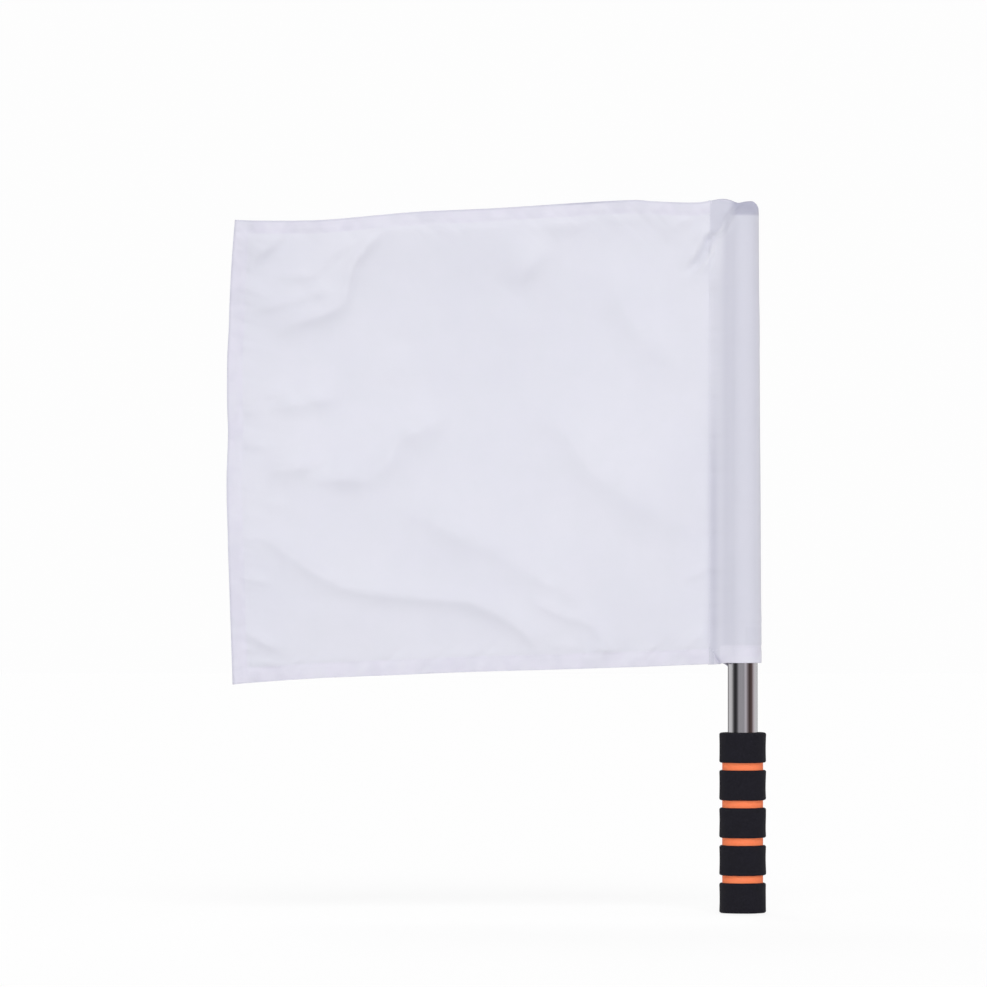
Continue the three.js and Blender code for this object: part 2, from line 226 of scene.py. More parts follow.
# Creases of the panel: height, widths of the upper and lower flank, and route across and up it, all in shares
CREASE_SHARES = (
    (0.7, 0.8, 0.35, ((0.967, 0.307), (0.932, 0.311), (0.902, 0.293), (0.884, 0.27))),
    (1.75, 1.4, 0.6, (
        (0.892, 0.288), (0.875, 0.273), (0.857, 0.258), (0.837, 0.242), (0.8, 0.215), (0.759, 0.195),
        (0.718, 0.183), (0.646, 0.17), (0.569, 0.16), (0.511, 0.152), (0.48, 0.14), (0.445, 0.122),
        (0.398, 0.09), (0.373, 0.063), (0.355, 0.03),
    )),
    (0.9, 1.3, 0.8, ((0.646, 0.368), (0.577, 0.328), (0.503, 0.281))),
    (1.15, 1.6, 0.9, (
        (0.569, 0.312), (0.509, 0.286), (0.443, 0.255), (0.375, 0.208), (0.338, 0.184), (0.303, 0.17),
        (0.272, 0.143),
    )),
    (0.3, 0.3, 0.2, ((0.359, 0.194), (0.34, 0.182), (0.32, 0.175))),
    (0.8, 0.8, 0.4, (
        (0.372, 0.149), (0.339, 0.131), (0.304, 0.112), (0.252, 0.093), (0.225, 0.06), (0.207, 0.032),
    )),
    (2.9, 1.5, 0.5, ((0.695, 0.955), (0.722, 0.932), (0.745, 0.895), (0.753, 0.852), (0.759, 0.818))),
    (2.3, 1.2, 0.7, ((0.755, 0.83), (0.783, 0.802), (0.819, 0.791), (0.852, 0.781), (0.891, 0.762))),
    (1.1, 0.6, 0.35, ((0.739, 0.955), (0.778, 0.929), (0.81, 0.897), (0.834, 0.881), (0.892, 0.88))),
    (1.2, 0.8, 0.45, ((0.774, 0.833), (0.816, 0.841), (0.853, 0.83), (0.905, 0.817), (0.956, 0.802))),
    (1.7, 0.7, 0.35, ((0.902, 0.964), (0.932, 0.936), (0.964, 0.901))),
    (0.6, 0.3, 0.2, ((0.929, 0.954), (0.953, 0.964), (0.971, 0.962))),
    (2.6, 1.2, 0.8, ((0.906, 0.458), (0.86, 0.461), (0.811, 0.469))),
    (2.3, 1.3, 0.7, ((0.811, 0.432), (0.759, 0.431), (0.704, 0.424))),
    (1.9, 1.2, 1, (
        (0.7, 0.43), (0.671, 0.458), (0.654, 0.492), (0.637, 0.517), (0.6, 0.528), (0.551, 0.547),
    )),
    (1.7, 0.8, 0.6, ((0.894, 0.595), (0.865, 0.598), (0.836, 0.593))),
    (1.5, 0.8, 0.5, ((0.836, 0.604), (0.811, 0.607), (0.782, 0.603))),
    (0.6, 0.6, 0.3, ((0.951, 0.594), (0.927, 0.619), (0.88, 0.627))),
    (2.1, 2.4, 1.2, (
        (0.365, 0.54), (0.32, 0.525), (0.283, 0.481), (0.246, 0.424), (0.192, 0.381), (0.134, 0.344),
        (0.056, 0.297),
    )),
    (1.9, 2.2, 1.3, (
        (0.206, 0.869), (0.189, 0.796), (0.162, 0.74), (0.13, 0.702), (0.097, 0.671), (0.056, 0.634),
    )),
    (1.9, 1.5, 0.8, ((0.35, 0.897), (0.374, 0.873), (0.396, 0.845))),
    (0.9, 1.5, 1.2, ((0.413, 0.799), (0.408, 0.713), (0.419, 0.623))),
    (0.6, 0.5, 0.3, ((0.004, 0.203), (0.021, 0.196), (0.044, 0.188))),
    (0.9, 0.8, 0.4, ((0.004, 0.078), (0.027, 0.058), (0.057, 0.033))),
    (0.5, 0.4, 0.3, ((0.272, 0.952), (0.294, 0.943))),
    (1.6, 0.6, 0.4, ((0.966, 0.11), (0.935, 0.086), (0.895, 0.062))),
    (0.5, 0.2, 0.15, ((0.969, 0.041), (0.929, 0.04), (0.888, 0.031))),
    (0.6, 0.4, 0.25, ((0.922, 0.213), (0.941, 0.217), (0.961, 0.22))),
    (0.4, 0.3, 0.2, ((0.964, 0.586), (0.937, 0.585))),
    (0.5, 0.4, 0.2, ((0.963, 0.512), (0.92, 0.509))),
    (0.4, 0.3, 0.2, ((0.96, 0.356), (0.934, 0.353))),
    (0.5, 0.5, 0.3, ((0.97, 0.854), (0.932, 0.841))),
    (0.5, 0.4, 0.3, ((0.915, 0.382), (0.892, 0.381))),
    (0.6, 1, 0.7, ((0.641, 0.703), (0.651, 0.678), (0.661, 0.646))),
    (0.8, 0.7, 0.4, ((0.015, 0.973), (0.044, 0.966), (0.069, 0.953), (0.084, 0.931))),
    (0.5, 0.4, 0.25, ((0.332, 0.051), (0.284, 0.047))),
    (0.7, 0.5, 0.3, ((0.244, 0.042), (0.207, 0.036))),
    (0.5, 0.5, 0.3, ((0.341, 0.963), (0.315, 0.953), (0.253, 0.96))),
    (0.5, 0.5, 0.3, ((0.203, 0.961), (0.163, 0.959))),
    (0.9, 2.2, 1.6, ((0.883, 0.152), (0.792, 0.135), (0.706, 0.109), (0.627, 0.088))),
    (1.7, 0.8, 6, ((0.745, 0.959), (0.62, 0.957), (0.5, 0.955), (0.38, 0.955), (0.3, 0.954))),
)

# Route of the pull from the tube's tip across the seam, in shares of the pocket's radius and crown's height
PULL_SHARES = (
    (-0.356, 0.752), (-0.73, 0.242), (-1.042, -0.195), (-1.198, -0.558), (-1.316, -0.922), (-1.541, -1.213),
    (-1.853, -1.395), (-2.196, -1.541), (-2.383, -1.796), (-2.489, -2.16), (-2.695, -2.596), (-2.976, -3.106),
    (-3.412, -3.724), (-3.911, -4.343),
)
# Section of the pull: distance below its route and height, in shares of its width and height
PULL_SECTION_SHARES = ((-3.4, 0), (-1.8, 0.2), (-0.35, 0.5), (0.95, -0.5), (2.2, 0.55), (3.3, 0.2), (4.6, 0))
PULL_HEIGHT = 0.0034
PULL_WIDTH = 0.0035
PULL_POCKET_SHARE = 0.5
PULL_FLATTENING_SHARE = 0.7
PULL_FLATTENING_DEPTH = 0.016
SEAM_PUCKER = 0.0005
SEAM_PUCKER_REACH = 0.005

# Light from all round, then the soft lamps: strength, angle towards +X, angle above the floor, softness
AMBIENT = 0.5
LAMPS = {
    "key": (1.335, math.radians(3), math.radians(46), math.radians(30)),
    "fill": (0.585, math.radians(3), math.radians(2), math.radians(45)),
    "back": (0.8, math.radians(196), math.radians(38), math.radians(30)),
}
BACKGROUND = 0.985
FLOOR_GLOW = 1.0
FLOOR_GLOW_SHARE = 0.85

# The studio's curved screen round the tube: angle from the camera's side towards +X, then colour
SCREEN_STOPS = (
    (-100, 1, 1, 1), (-84, 0.5, 0.5, 0.5), (-74, 0.12, 0.12, 0.125), (-60, 0.04, 0.04, 0.043),
    (-46, 0.1, 0.1, 0.105), (-30, 0.56, 0.55, 0.58), (6, 0.54, 0.53, 0.56), (22, 0.88, 0.84, 0.89),
    (38, 0.32, 0.27, 0.28), (52, 0.09, 0.062, 0.06), (74, 0.19, 0.135, 0.125), (96, 0.95, 0.88, 0.92),
    (112, 1, 1, 1), (140, 1, 1, 1), (154, 0.3, 0.3, 0.31), (164, 0.08, 0.08, 0.085),
    (174, 0.5, 0.5, 0.52), (192, 0.56, 0.56, 0.58), (206, 0.12, 0.11, 0.11), (218, 0.5, 0.5, 0.5),
    (232, 1, 1, 1), (260, 1, 1, 1),
)

# How dark each shade painted on the cloth is, and how much of it stays off the mouth's hem
SHADE_SHARES = {
    "seam": 0.12, "seam, low down": 0.36, "tube": 0.295, "tube's lit edge": 0.1, "beside the tube": 0.05,
    "off the mouth's hem": 0.85, "pull": 0.42, "plug": 0.56, "above the plug": 0.12, "patch": 0.05,
    "lapped corner": 0.3, "pocket's valley": 0.08, "closed top": 0.35, "panel's valley": 0.16,
    "corner's cut edge": 0.7, "top edge": 0.3, "top edge's fold": 0.5, "fly edge": 0.3, "shade towards the fly": 0.05,
}

# Where the shades begin and are full, or their middle and reach
SEAM_LOW_SHARES = (0.7, 0.33)  # of the pocket's depth
SEAM_SHARES = (0.55, 1.5)  # of the flap
TUBE_START_SHARE = 2.6  # of the flap
LIT_TOP_SHARES = (3.2, 1.3)  # of the pull's flattening
LIT_EDGE_SHARE = 0.75  # of the tube's radius
CONTACT_SHARE = 1.15  # of the tube's radius
PLUG_SHARES = (4, 2)  # of the gap at the tip
LAP_SHADE_SHARE = 1.8  # of the lap's height
TOP_FOLD_SHARES = (0.26, 0.06)  # of the way across the panel
FLY_SHADE_SHARES = (0.78, 0.98)  # of the way across the panel

# Colours of the materials: two that a noise mixes, then that of the blotches, rubbed places or smears
POLYESTER_COLOURS = ((0.677, 0.678, 0.756, 1), (0.704, 0.702, 0.775, 1), (0.666, 0.677, 0.737, 1))
THREAD_COLOURS = ((0.62, 0.62, 0.71, 1), (0.74, 0.74, 0.82, 1))
ORANGE_FOAM_COLOURS = ((1.0, 0.225, 0.09, 1), (1.0, 0.265, 0.115, 1), (1.0, 0.34, 0.18, 1))
BLACK_FOAM_COLOURS = ((0.0082, 0.0076, 0.0118, 1), (0.0125, 0.0118, 0.0175, 1), (0.019, 0.018, 0.025, 1))
STEEL_COLOURS = ((0.42, 0.415, 0.43, 1), (0.52, 0.51, 0.525, 1), (0.43, 0.4, 0.39, 1))
PLUG_COLOURS = ((0.012, 0.012, 0.014, 1), (0.03, 0.03, 0.033, 1))
HEM_COLOUR = (0.695, 0.681, 0.775, 1)
# Colour of the painted shade, which the hems' random darker patches also use
SHADE_COLOUR = (0.418, 0.418, 0.523, 1)
FLOOR_COLOUR = (0.95, 0.95, 0.95, 1)
WHITE = (1, 1, 1, 1)

# Noises of the materials: scale, detail, stretch along the axes, and roughness where it is not the usual one
NOISE_ROUGHNESS = 0.55
NOISES = {
    "fibres": (2600, 2), "slubs": (120, 3, (0.12, 4, 1)), "clouds": (14, 4), "blotches": (70, 3),
    "hem patches": (80, 1), "plies": (3000, 2), "foam grain": (700, 4, None, 0.65), "foam patches": (90, 4),
    "rubbed places": (230, 5, None, 0.7), "drawn lines": (1800, 3, (1, 1, 0.012)),
    "smears": (45, 4, (1, 1, 0.35)), "scratches": (900, 2, (1, 0.08, 0.6)), "plastic grain": (1500, 3),
    "wear": (160, 4),
}
PORE_SCALE = 1400
WEAVE_PITCH = 0.0005

# Ranges of the noises and rays, and the ranges that they are spread to
SPREADS = {
    "cloud tone": (0.3, 0.7, 0, 1), "greying": (0.4, 0.75, 0, 0.3), "hem lightness": (0.35, 0.6, 0.35, 1),
    "hem darkness": (0.42, 0.62, 0, 0.11), "cloth roughness": (0.3, 0.7, 0.62, 0.8), "pores": (0, 0.55, 0, 1),
    "foam tone": (0.7, 1.1, 0, 1), "foam roughness": (0.35, 0.7, 0.72, 0.92), "scratches": (0.66, 0.75, 0, 1),
    "rubbed tone": (0.62, 0.78, 0, 0.5), "smear tone": (0.45, 0.75, 0, 0.35), "wear tone": (0.5, 0.8, 0, 1),
    "smear roughness": (0.35, 0.75, 0.05, 0.1), "wear roughness": (0.3, 0.8, 0.38, 0.62),
    "world's light": (0, 1, AMBIENT, BACKGROUND), "floor's glow": (0, 1, 0, FLOOR_GLOW_SHARE),
}

# Shares of one noise that are added to another
SUM_SHARES = {"fibres": 0.8, "slubs": 1.2, "foam patches": 0.8, "pores": 0.6, "scratches": 0.12}

# Fine relief of the materials: strength, and height in metres
RELIEFS = {
    "weave": (0.35, 0.00004), "plies": (0.4, 0.00005), "pores": (0.5, 0.00018),
    "drawn lines": (0.08, 0.00001), "plastic grain": (0.2, 0.00006),
}


def smooth(low, high, value):
    """Rises smoothly from 0 at low to 1 at high."""
    share = np.clip((value - low) / (high - low), 0, 1)
    return share * share * (3 - 2 * share)


def bell(distance, reach):
    """A bell-shaped share: 1 at no distance, and close to 0 at twice the reach."""
    return np.exp(-((distance / reach) ** 2))


def curve_of(pairs, places):
    """A smooth curve through a table of (place, value) pairs."""
    known = np.array(pairs, dtype=float)
    at, value = known[:, 0], known[:, 1]
    gaps = np.diff(at)
    steps = np.diff(value) / gaps
    slopes = np.zeros_like(value)
    slopes[1:-1] = (value[2:] - value[:-2]) / (at[2:] - at[:-2])
    slopes[0] = (3 * steps[0] - slopes[1]) / 2
    slopes[-1] = (3 * steps[-1] - slopes[-2]) / 2
    places = np.clip(places, at[0], at[-1])
    i = np.clip(np.searchsorted(at, places, side="right") - 1, 0, len(at) - 2)
    t = (places - at[i]) / gaps[i]
    near = (2 * t**3 - 3 * t**2 + 1) * value[i] + (t**3 - 2 * t**2 + t) * gaps[i] * slopes[i]
    far = (3 * t**2 - 2 * t**3) * value[i + 1] + (t**3 - t**2) * gaps[i] * slopes[i + 1]
    return near + far


def ripple(places, pitch, seed):
    """Soft one-way noise from -1 to 1 along a length, with bumps about a pitch apart."""
    knots = np.random.default_rng(seed).uniform(-1, 1, RIPPLE_KNOTS)
    at = places / pitch + RIPPLE_KNOTS / 2
    i = np.floor(at).astype(int)
    t = at - i
    t = t * t * (3 - 2 * t)
    return knots[i] * (1 - t) + knots[i + 1] * t


def puckers_at(places, seed, finer_seed):
    """Puckers along a seam, with finer ones between them."""
    finer = ripple(places, PUCKER_PITCH / PUCKER_FINENESS, finer_seed)
    return ripple(places, PUCKER_PITCH, seed) + finer / 2


def rumple(x, z, pitch, seed):
    """Soft two-way noise from about -1 to 1."""
    knots = np.random.default_rng(seed).uniform(-1, 1, (RUMPLE_KNOTS, RUMPLE_KNOTS))
    u, v = x / pitch + RUMPLE_KNOTS / 2, z / pitch + RUMPLE_KNOTS / 4
    i, j = np.floor(u).astype(int), np.floor(v).astype(int)
    s, t = u - i, v - j
    s, t = s * s * (3 - 2 * s), t * t * (3 - 2 * t)
    low = knots[i, j] * (1 - s) + knots[i + 1, j] * s
    high = knots[i, j + 1] * (1 - s) + knots[i + 1, j + 1] * s
    return low * (1 - t) + high * t


def route_of(points):
    """A route through points, with its corners smoothed."""
    at = np.arange(len(points))
    fine = np.linspace(0, len(points) - 1, ROUTE_STEPS * (len(points) - 1) + 1)
    return np.stack([curve_of(np.stack((at, values), axis=1), fine) for values in points.T], axis=1)


def distance_to(route, x, z):
    """Distance of each place below a route's line, its place along the line, and the line's length."""
    gaps, sides, places = [], [], []
    travelled = 0.0
    below = 1 if route[-1][0] < route[0][0] else -1
    for start, end in zip(route, route[1:]):
        (ax, az), (bx, bz) = start, end - start
        length = math.hypot(bx, bz)
        along = ((x - ax) * bx + (z - az) * bz) / length
        side = (bx * (z - az) - bz * (x - ax)) / length
        gaps.append(np.hypot(along - np.clip(along, 0, length), side))
        sides.append(below * side)
        places.append(travelled + along)
        travelled += length
    weights = np.exp((np.min(gaps, axis=0) - gaps) / ROUTE_BLEND)
    weights /= weights.sum(axis=0)
    return (weights * sides).sum(axis=0), (weights * places).sum(axis=0), travelled


def crest(distance, upper, lower):
    """Section of a crease: a crest at 0 that falls off over its upper and lower flank."""
    width = np.where(distance < 0, upper, lower)
    blunt = width / 3
    return np.exp(-(np.sqrt(distance**2 + blunt**2) - blunt) / width)


def creases_at(across, up):
    """Height of the panel's creases at places across and up it."""
    x, z = across * PANEL_WIDTH, up * PANEL_HEIGHT
    height = np.zeros(x.shape)
    for share, upper, lower, places in CREASE_SHARES:
        route = route_of(np.array(places) * (PANEL_WIDTH, PANEL_HEIGHT))
        signed, along, length = distance_to(route, x, z)
        soft = max(1, upper)
        taper = min(length / 2, CREASE_TAPER * soft)
        ends = smooth(-CREASE_END * soft, taper, along) * smooth(-CREASE_END * soft, taper, length - along)
        height += CREASE_HEIGHT * share * crest(signed, upper * CREASE_FLANK, lower * CREASE_FLANK) * ends
    return height


def pull_at(x, z):
    """Height of the pull across the seam, share above its line, and share in its valley."""
    shares = np.array(PULL_SHARES)
    places = np.stack((shares[:, 0] * RADIUS_TOP, TIP_TOP + shares[:, 1] * CROWN_HEIGHT), axis=1)
    signed, along, length = distance_to(route_of(places), x, z)
    kept = bell(np.minimum(along, 0), CREASE_END) * smooth(0, length / 4, length - along)
    narrowing = 1 - (1 - PULL_POCKET_SHARE) * smooth(SEAM_X - FLAP, SEAM_X + 3 * FLAP, x)
    section = curve_of(PULL_SECTION_SHARES, signed / (PULL_WIDTH * narrowing))
    fold = PULL_HEIGHT * narrowing * section * smooth(HOIST_TOP, TIP_TOP, z)
    puckers = SEAM_PUCKER * puckers_at(z, *SEAM_SEEDS) * np.exp(-np.abs(x - SEAM_X) / SEAM_PUCKER_REACH)
    above = smooth(PULL_WIDTH / 4, -PULL_WIDTH / 4, signed)
    valley = 2 * np.clip(-section, 0, 1) * smooth(HOIST_TOP, TIP_TOP - CROWN_HEIGHT, z)
    return fold * kept + puckers, above * kept, valley * kept


def hems_at(across, up):
    """The three hems: distance from the edge, width, place along, lean of the puckers, and seed."""
    x, z = across * PANEL_WIDTH, up * PANEL_HEIGHT
    return (
        (PANEL_HEIGHT - z, TOP_HEM, x, PUCKER_LEAN, HEM_SEEDS[0]),
        (z, BOTTOM_HEM, x, PUCKER_LEAN, HEM_SEEDS[1]),
        (PANEL_WIDTH - x, FLY_HEM, z, PUCKER_LEAN / 4, HEM_SEEDS[2]),
    )


def hem_relief(across, up):
    """Height that the hems, their stitch lines and their puckers add in front of the panel."""
    height = np.zeros(across.shape)
    finer, pinched, patched = HEM_SEED_STEPS.values()
    for edge, width, along, lean, seed in hems_at(across, up):
        line = width - STITCH_INSET
        inside = smooth(line, line / 2, edge)
        sink = bell(edge - line, STITCH_SINK_HALF)
        reach = np.exp(-np.abs(edge - line) / PUCKER_REACH)
        leaning = along + lean * (edge - line)
        bumps = puckers_at(leaning, seed, seed + finer)
        pinches = (1 - np.abs(ripple(leaning, PINCH_PITCH, seed + pinched))) ** PINCH_SHARPNESS
        pinches *= smooth(*PINCH_PATCH_SHARES, ripple(along, RUMPLE_PITCH, seed + patched))
        puckers = PUCKER_HEIGHT * bumps - PINCH_DEPTH * pinches
        height += HEM_PUFF * inside - STITCH_SINK * sink + puckers * reach
    return height


def hem_share(across, up):
    """1 on the hems of the panel and 0 between them."""
    share = np.zeros(across.shape)
    for edge, width, *_ in hems_at(across, up):
        line = width - STITCH_INSET
        share = np.maximum(share, smooth(line + STITCH_SINK_HALF, line, edge))
    return share


def panel_points(across, up, depth=0.0):
    """Points of the panel's cloth at places across and up it, set back by a depth."""
    top = HOIST_TOP - FOLD_REACH - FLY_DROP * curve_of(TOP_EDGE_SHARES, across)
    bottom = HOIST_BOTTOM + FOLD_REACH - FLY_DROP * curve_of(BOTTOM_EDGE_SHARES, across)
    bulge = FLY_BULGE * curve_of(FLY_EDGE_SHARES, up)
    x = PANEL_START - across * (PANEL_WIDTH + bulge)
    z = bottom + (top - bottom) * up
    turn = SWAY_SHARES["across"] * across + SWAY_SHARES["lean"] * up + SWAY_SHARES["start"]
    billows = SWAY * across * np.sin(2 * math.pi * turn)
    billows += BILLOW_HEIGHT * rumple(x, z, BILLOW_PITCH, BILLOW_SEED)
    billows += SWELL * np.sin(2 * math.pi * up)
    coarse, fine = RUMPLE_SEEDS
    rumples = rumple(x, z, RUMPLE_PITCH, coarse) + rumple(x, z, RUMPLE_PITCH / RUMPLE_FINENESS, fine) / 3
    relief = creases_at(across, up) + RUMPLE_HEIGHT * rumples + hem_relief(across, up)
    lift = billows * smooth(0, HOIST_BLEND, across * PANEL_WIDTH)
    lift += relief * smooth(0, 3 * FLAP, across * PANEL_WIDTH)
    lift += pull_at(x, z)[0] * smooth(-FLAP, 0, across * PANEL_WIDTH)
    return np.stack((x, depth - lift, z), axis=-1)


def new_object(name, data):
    """A new object in the scene."""
    made = bpy.data.objects.new(name, data)
    bpy.context.collection.objects.link(made)
    return made


def new_piece(name, points, faces):
    """A smoothly shaded piece from points and faces."""
    mesh = bpy.data.meshes.new(name)
    mesh.from_pydata(points, [], faces)
    mesh.shade_smooth()
    return new_object(name, mesh)


def flat_mesh(name, points):
    """A piece from a grid of points, with its real sizes as UVs in metres."""
    rows, columns = points.shape[:2]
    index = np.arange(rows * columns).reshape(rows, columns)
    corners = (index[:-1, :-1], index[:-1, 1:], index[1:, 1:], index[1:, :-1])
    quads = np.stack(corners, axis=-1).reshape(-1, 4)
    piece = new_piece(name, points.reshape(-1, 3).tolist(), quads.tolist())
    steps_across = np.linalg.norm(np.diff(points, axis=1), axis=2)
    steps_up = np.linalg.norm(np.diff(points, axis=0), axis=2)
    u = np.concatenate((np.zeros((rows, 1)), np.cumsum(steps_across, axis=1)), axis=1)
    v = np.concatenate((np.zeros((1, columns)), np.cumsum(steps_up, axis=0)), axis=0)
    uvs = np.stack((u, v), axis=-1).reshape(-1, 2)[quads]
    piece.data.uv_layers.new(name="cloth").data.foreach_set("uv", uvs.reshape(-1))
    return piece


def finish_piece(piece, material, body, slot, *nodes):
    """Gives a piece its material and its body, and hides the nodes that it replaces; its slot is not used."""
    piece.data.materials.append(material)
    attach(piece, body)
    if nodes:
        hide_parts(*nodes)
    return piece


def cloth_piece(name, points, hem, shade, material, *nodes):
    """Cloth of real thickness from a grid of points, with its hems and its shade painted from 0 to 1."""
    piece = flat_mesh(name, points)
    for layer_name, values in (("hem", hem), ("shade", shade)):
        layer = piece.data.attributes.new(layer_name, "FLOAT", "POINT")
        layer.data.foreach_set("value", np.clip(values, 0, 1).astype(np.float32).reshape(-1))
    shell = piece.modifiers.new("thickness", "SOLIDIFY")
    shell.thickness = CLOTH
    shell.offset = 0
    return finish_piece(piece, material, "flag", "polyester", *nodes)


def fold_phases():
    """Turns of a fold from the front, 0, to the back, pi, without its ends."""
    return np.linspace(0, math.pi, FOLD_STEPS + 2)[1:-1]


def stretch(length, first, last, turn):
    """Places from first to last, about a cell of a length apart, with the cloth's turn there."""
    places = np.linspace(first, last, round(length / PANEL_CELL) + 1)
    return places, np.full(len(places), turn)


def panel_rows():
    """Places up the panel and the cloth's turn there: bottom hem at the back, front, top hem at the back."""
    parts = (
        stretch(BOTTOM_HEM, BOTTOM_HEM / PANEL_HEIGHT, 0, math.pi),
        (np.zeros(FOLD_STEPS), fold_phases()[::-1]),
        stretch(PANEL_HEIGHT, 0, 1, 0.0),
        (np.ones(FOLD_STEPS), fold_phases()),
        stretch(TOP_HEM, 1, 1 - TOP_HEM / PANEL_HEIGHT, math.pi),
    )
    return [np.concatenate(part) for part in zip(*parts)]


def panel_columns():
    """Places across the panel and the cloth's turn there: hoist, front, fly hem at the back."""
    tuck = np.linspace(-HOIST_TUCK, 0, HOIST_TUCK_STEPS + 1)[:-1] / PANEL_WIDTH
    parts = (
        (tuck, np.zeros(len(tuck))),
        stretch(PANEL_WIDTH, 0, 1, 0.0),
        (np.ones(FOLD_STEPS), fold_phases()),
        stretch(FLY_HEM, 1, 1 - FLY_HEM / PANEL_WIDTH, math.pi),
    )
    return [np.concatenate(part) for part in zip(*parts)]


def lap_corner(points, across, up, turned_up):
    """Brings the hoist's tuck out over the pocket's mouth at the bottom, cut off at a slant."""
    tuck = np.clip(-across * PANEL_WIDTH / HOIST_TUCK, 0, 1)
    height = up * PANEL_HEIGHT
    inside = smooth(LAP_HEIGHT, LAP_HEIGHT + PANEL_CELL, height)
    z = points[..., 2]
    below_tip = smooth(HOIST_TOP, TIP_TOP - CROWN_HEIGHT, z)
    drawn_in = HOIST_INSIDE * (HOIST_TOP_SHARE + (1 - HOIST_TOP_SHARE) * below_tip)
    lap = LAP_WIDTH * (1 - height / LAP_HEIGHT)
    reach = np.where(inside > 0, drawn_in * inside, lap)
    out = (FLAP_STAND + LAYER_STEP + CLOTH + tuck * lap * LAP_SLOPE) * (1 - inside)
    lapped = np.stack((SEAM_X + tuck * reach, -out * tuck**0.5 + turned_up * LAYER_STEP / 2, z), axis=-1)
    return np.where((tuck > 0)[..., None], lapped, points)


def fly_hem_depth(up):
    """How far the fly hem lies behind the panel: further where the top and bottom hems lie between them."""
    top_blend = smooth(TOP_HEM + CORNER_BLEND, TOP_HEM, (1 - up) * PANEL_HEIGHT)
    bottom_blend = smooth(BOTTOM_HEM + CORNER_BLEND, BOTTOM_HEM, up * PANEL_HEIGHT)
    return LAYER_STEP * (1 + 2 * np.maximum(top_blend, bottom_blend))


def cloth_panel(material):
    """The panel: one cloth whose top, bottom and fly edges are folded to the back as hems."""
    up, up_phase = panel_rows()
    across, across_phase = panel_columns()
    grid_across, grid_up = np.meshgrid(across, up)
    turned_up = ((1 - np.cos(up_phase)) / 2)[:, None]
    turned_across = ((1 - np.cos(across_phase)) / 2)[None, :]
    full = fly_hem_depth(grid_up)
    near = LAYER_STEP * turned_up
    depth = near * (1 - turned_across) + (full - near) * turned_across
    points = panel_points(grid_across, grid_up, depth)
    side = np.where(up > 1 / 2, 1, -1) * np.sin(up_phase) * LAYER_STEP / 2
    points[..., 2] += side[:, None]
    points[..., 0] -= np.sin(across_phase)[None, :] * LAYER_STEP / 2
    points = lap_corner(points, grid_across, grid_up, turned_up)
    hem = hem_share(grid_across, grid_up)
    shade = panel_shade(points, grid_across, grid_up)
    nodes = ("flag_panel", "top_hem", "bottom_hem", "fly_hem")
    return cloth_piece("cloth_panel", points, hem, shade, material, *nodes)


def pocket_outline(radius, stand, shift):
    """The pocket from above, as points (x, y): front flap, web, round the tube, web, back flap."""
    tip = SEAM_X - shift
    reach = math.hypot(tip, stand)
    touch = (math.acos(radius / reach) - math.atan2(stand, tip)) % (2 * math.pi)
    angles = np.linspace(touch, 4 * math.pi - touch, ARC_STEPS + 1)
    arc = np.stack((radius * np.cos(angles), radius * np.sin(angles)), axis=1)
    share = np.linspace(0, 1, WEB_STEPS + 1)[:-1, None]
    web = np.array([tip, -stand]) * (1 - share) + arc[0] * share
    web[:, 1] += (WEB_BOW * np.sin(math.pi * share))[:, 0]
    front_flap = np.array([[tip - FLAP, CLOTH], [tip - FLAP / 2, -stand / 2]])
    back_flap = np.array([[tip - FLAP, stand], [tip - FLAP / 2, stand]])
    outline = np.concatenate((front_flap, web, arc, web[::-1] * (1, -1), back_flap[::-1]))
    outline[:, 0] += shift
    return outline


def mouth_height(x, y):
    """Height of the pocket's mouth: at the back it hangs a little lower beside the tube."""
    dip = MOUTH_DIP * smooth(MOUTH_DIP_REACH, 0, np.abs(x + MOUTH_DIP_PLACE))
    back = smooth(0, TUBE_RADIUS / 2, y)
    seam = smooth(TUBE_RADIUS, -SEAM_X, -x)
    return POCKET_BOTTOM - PANEL_STEP * seam - dip * back


def pocket_row(share, inward):
    """One row of the pocket's cloth between its mouth and the tube's tip."""
    radius = RADIUS_BOTTOM + (RADIUS_TOP - RADIUS_BOTTOM) * share - inward
    doubled = smooth(MOUTH_HEM + MOUTH_HEM_BLEND, MOUTH_HEM, share * POCKET_DEPTH)
    stand = FLAP_STAND + LAYER_STEP * doubled - inward
    outline = pocket_outline(radius, stand, POCKET_SHIFT * (1 - share))
    x, y = outline[:, 0], outline[:, 1]
    mouth = mouth_height(x, y)
    return np.stack((x, y, mouth + (TIP_TOP - mouth) * share), axis=1)


def crown_row(rise):
    """One row of the pocket's cloth above the tube's tip, drawn together towards its closed top."""
    outline = pocket_outline(RADIUS_TOP, FLAP_STAND, 0)
    x, y = outline[:, 0], outline[:, 1]
    place = (x - SEAM_X) / (RADIUS_TOP - SEAM_X)
    top = TIP_TOP + CROWN_HEIGHT * curve_of(CROWN_EDGE_SHARES, place)
    thickness = curve_of(CROWN_THICKNESS_SHARES, rise)
    reach = curve_of(CROWN_REACH_SHARES, rise)
    closed = FLAP_STAND * (1 - rise) ** 0.5
    kept = np.minimum(np.abs(y), closed)
    depth = np.sign(y) * (kept + (np.abs(y) - kept) * thickness)
    return np.stack((np.where(x > 0, x * reach, x), depth, TIP_TOP + (top - TIP_TOP) * rise), axis=1)


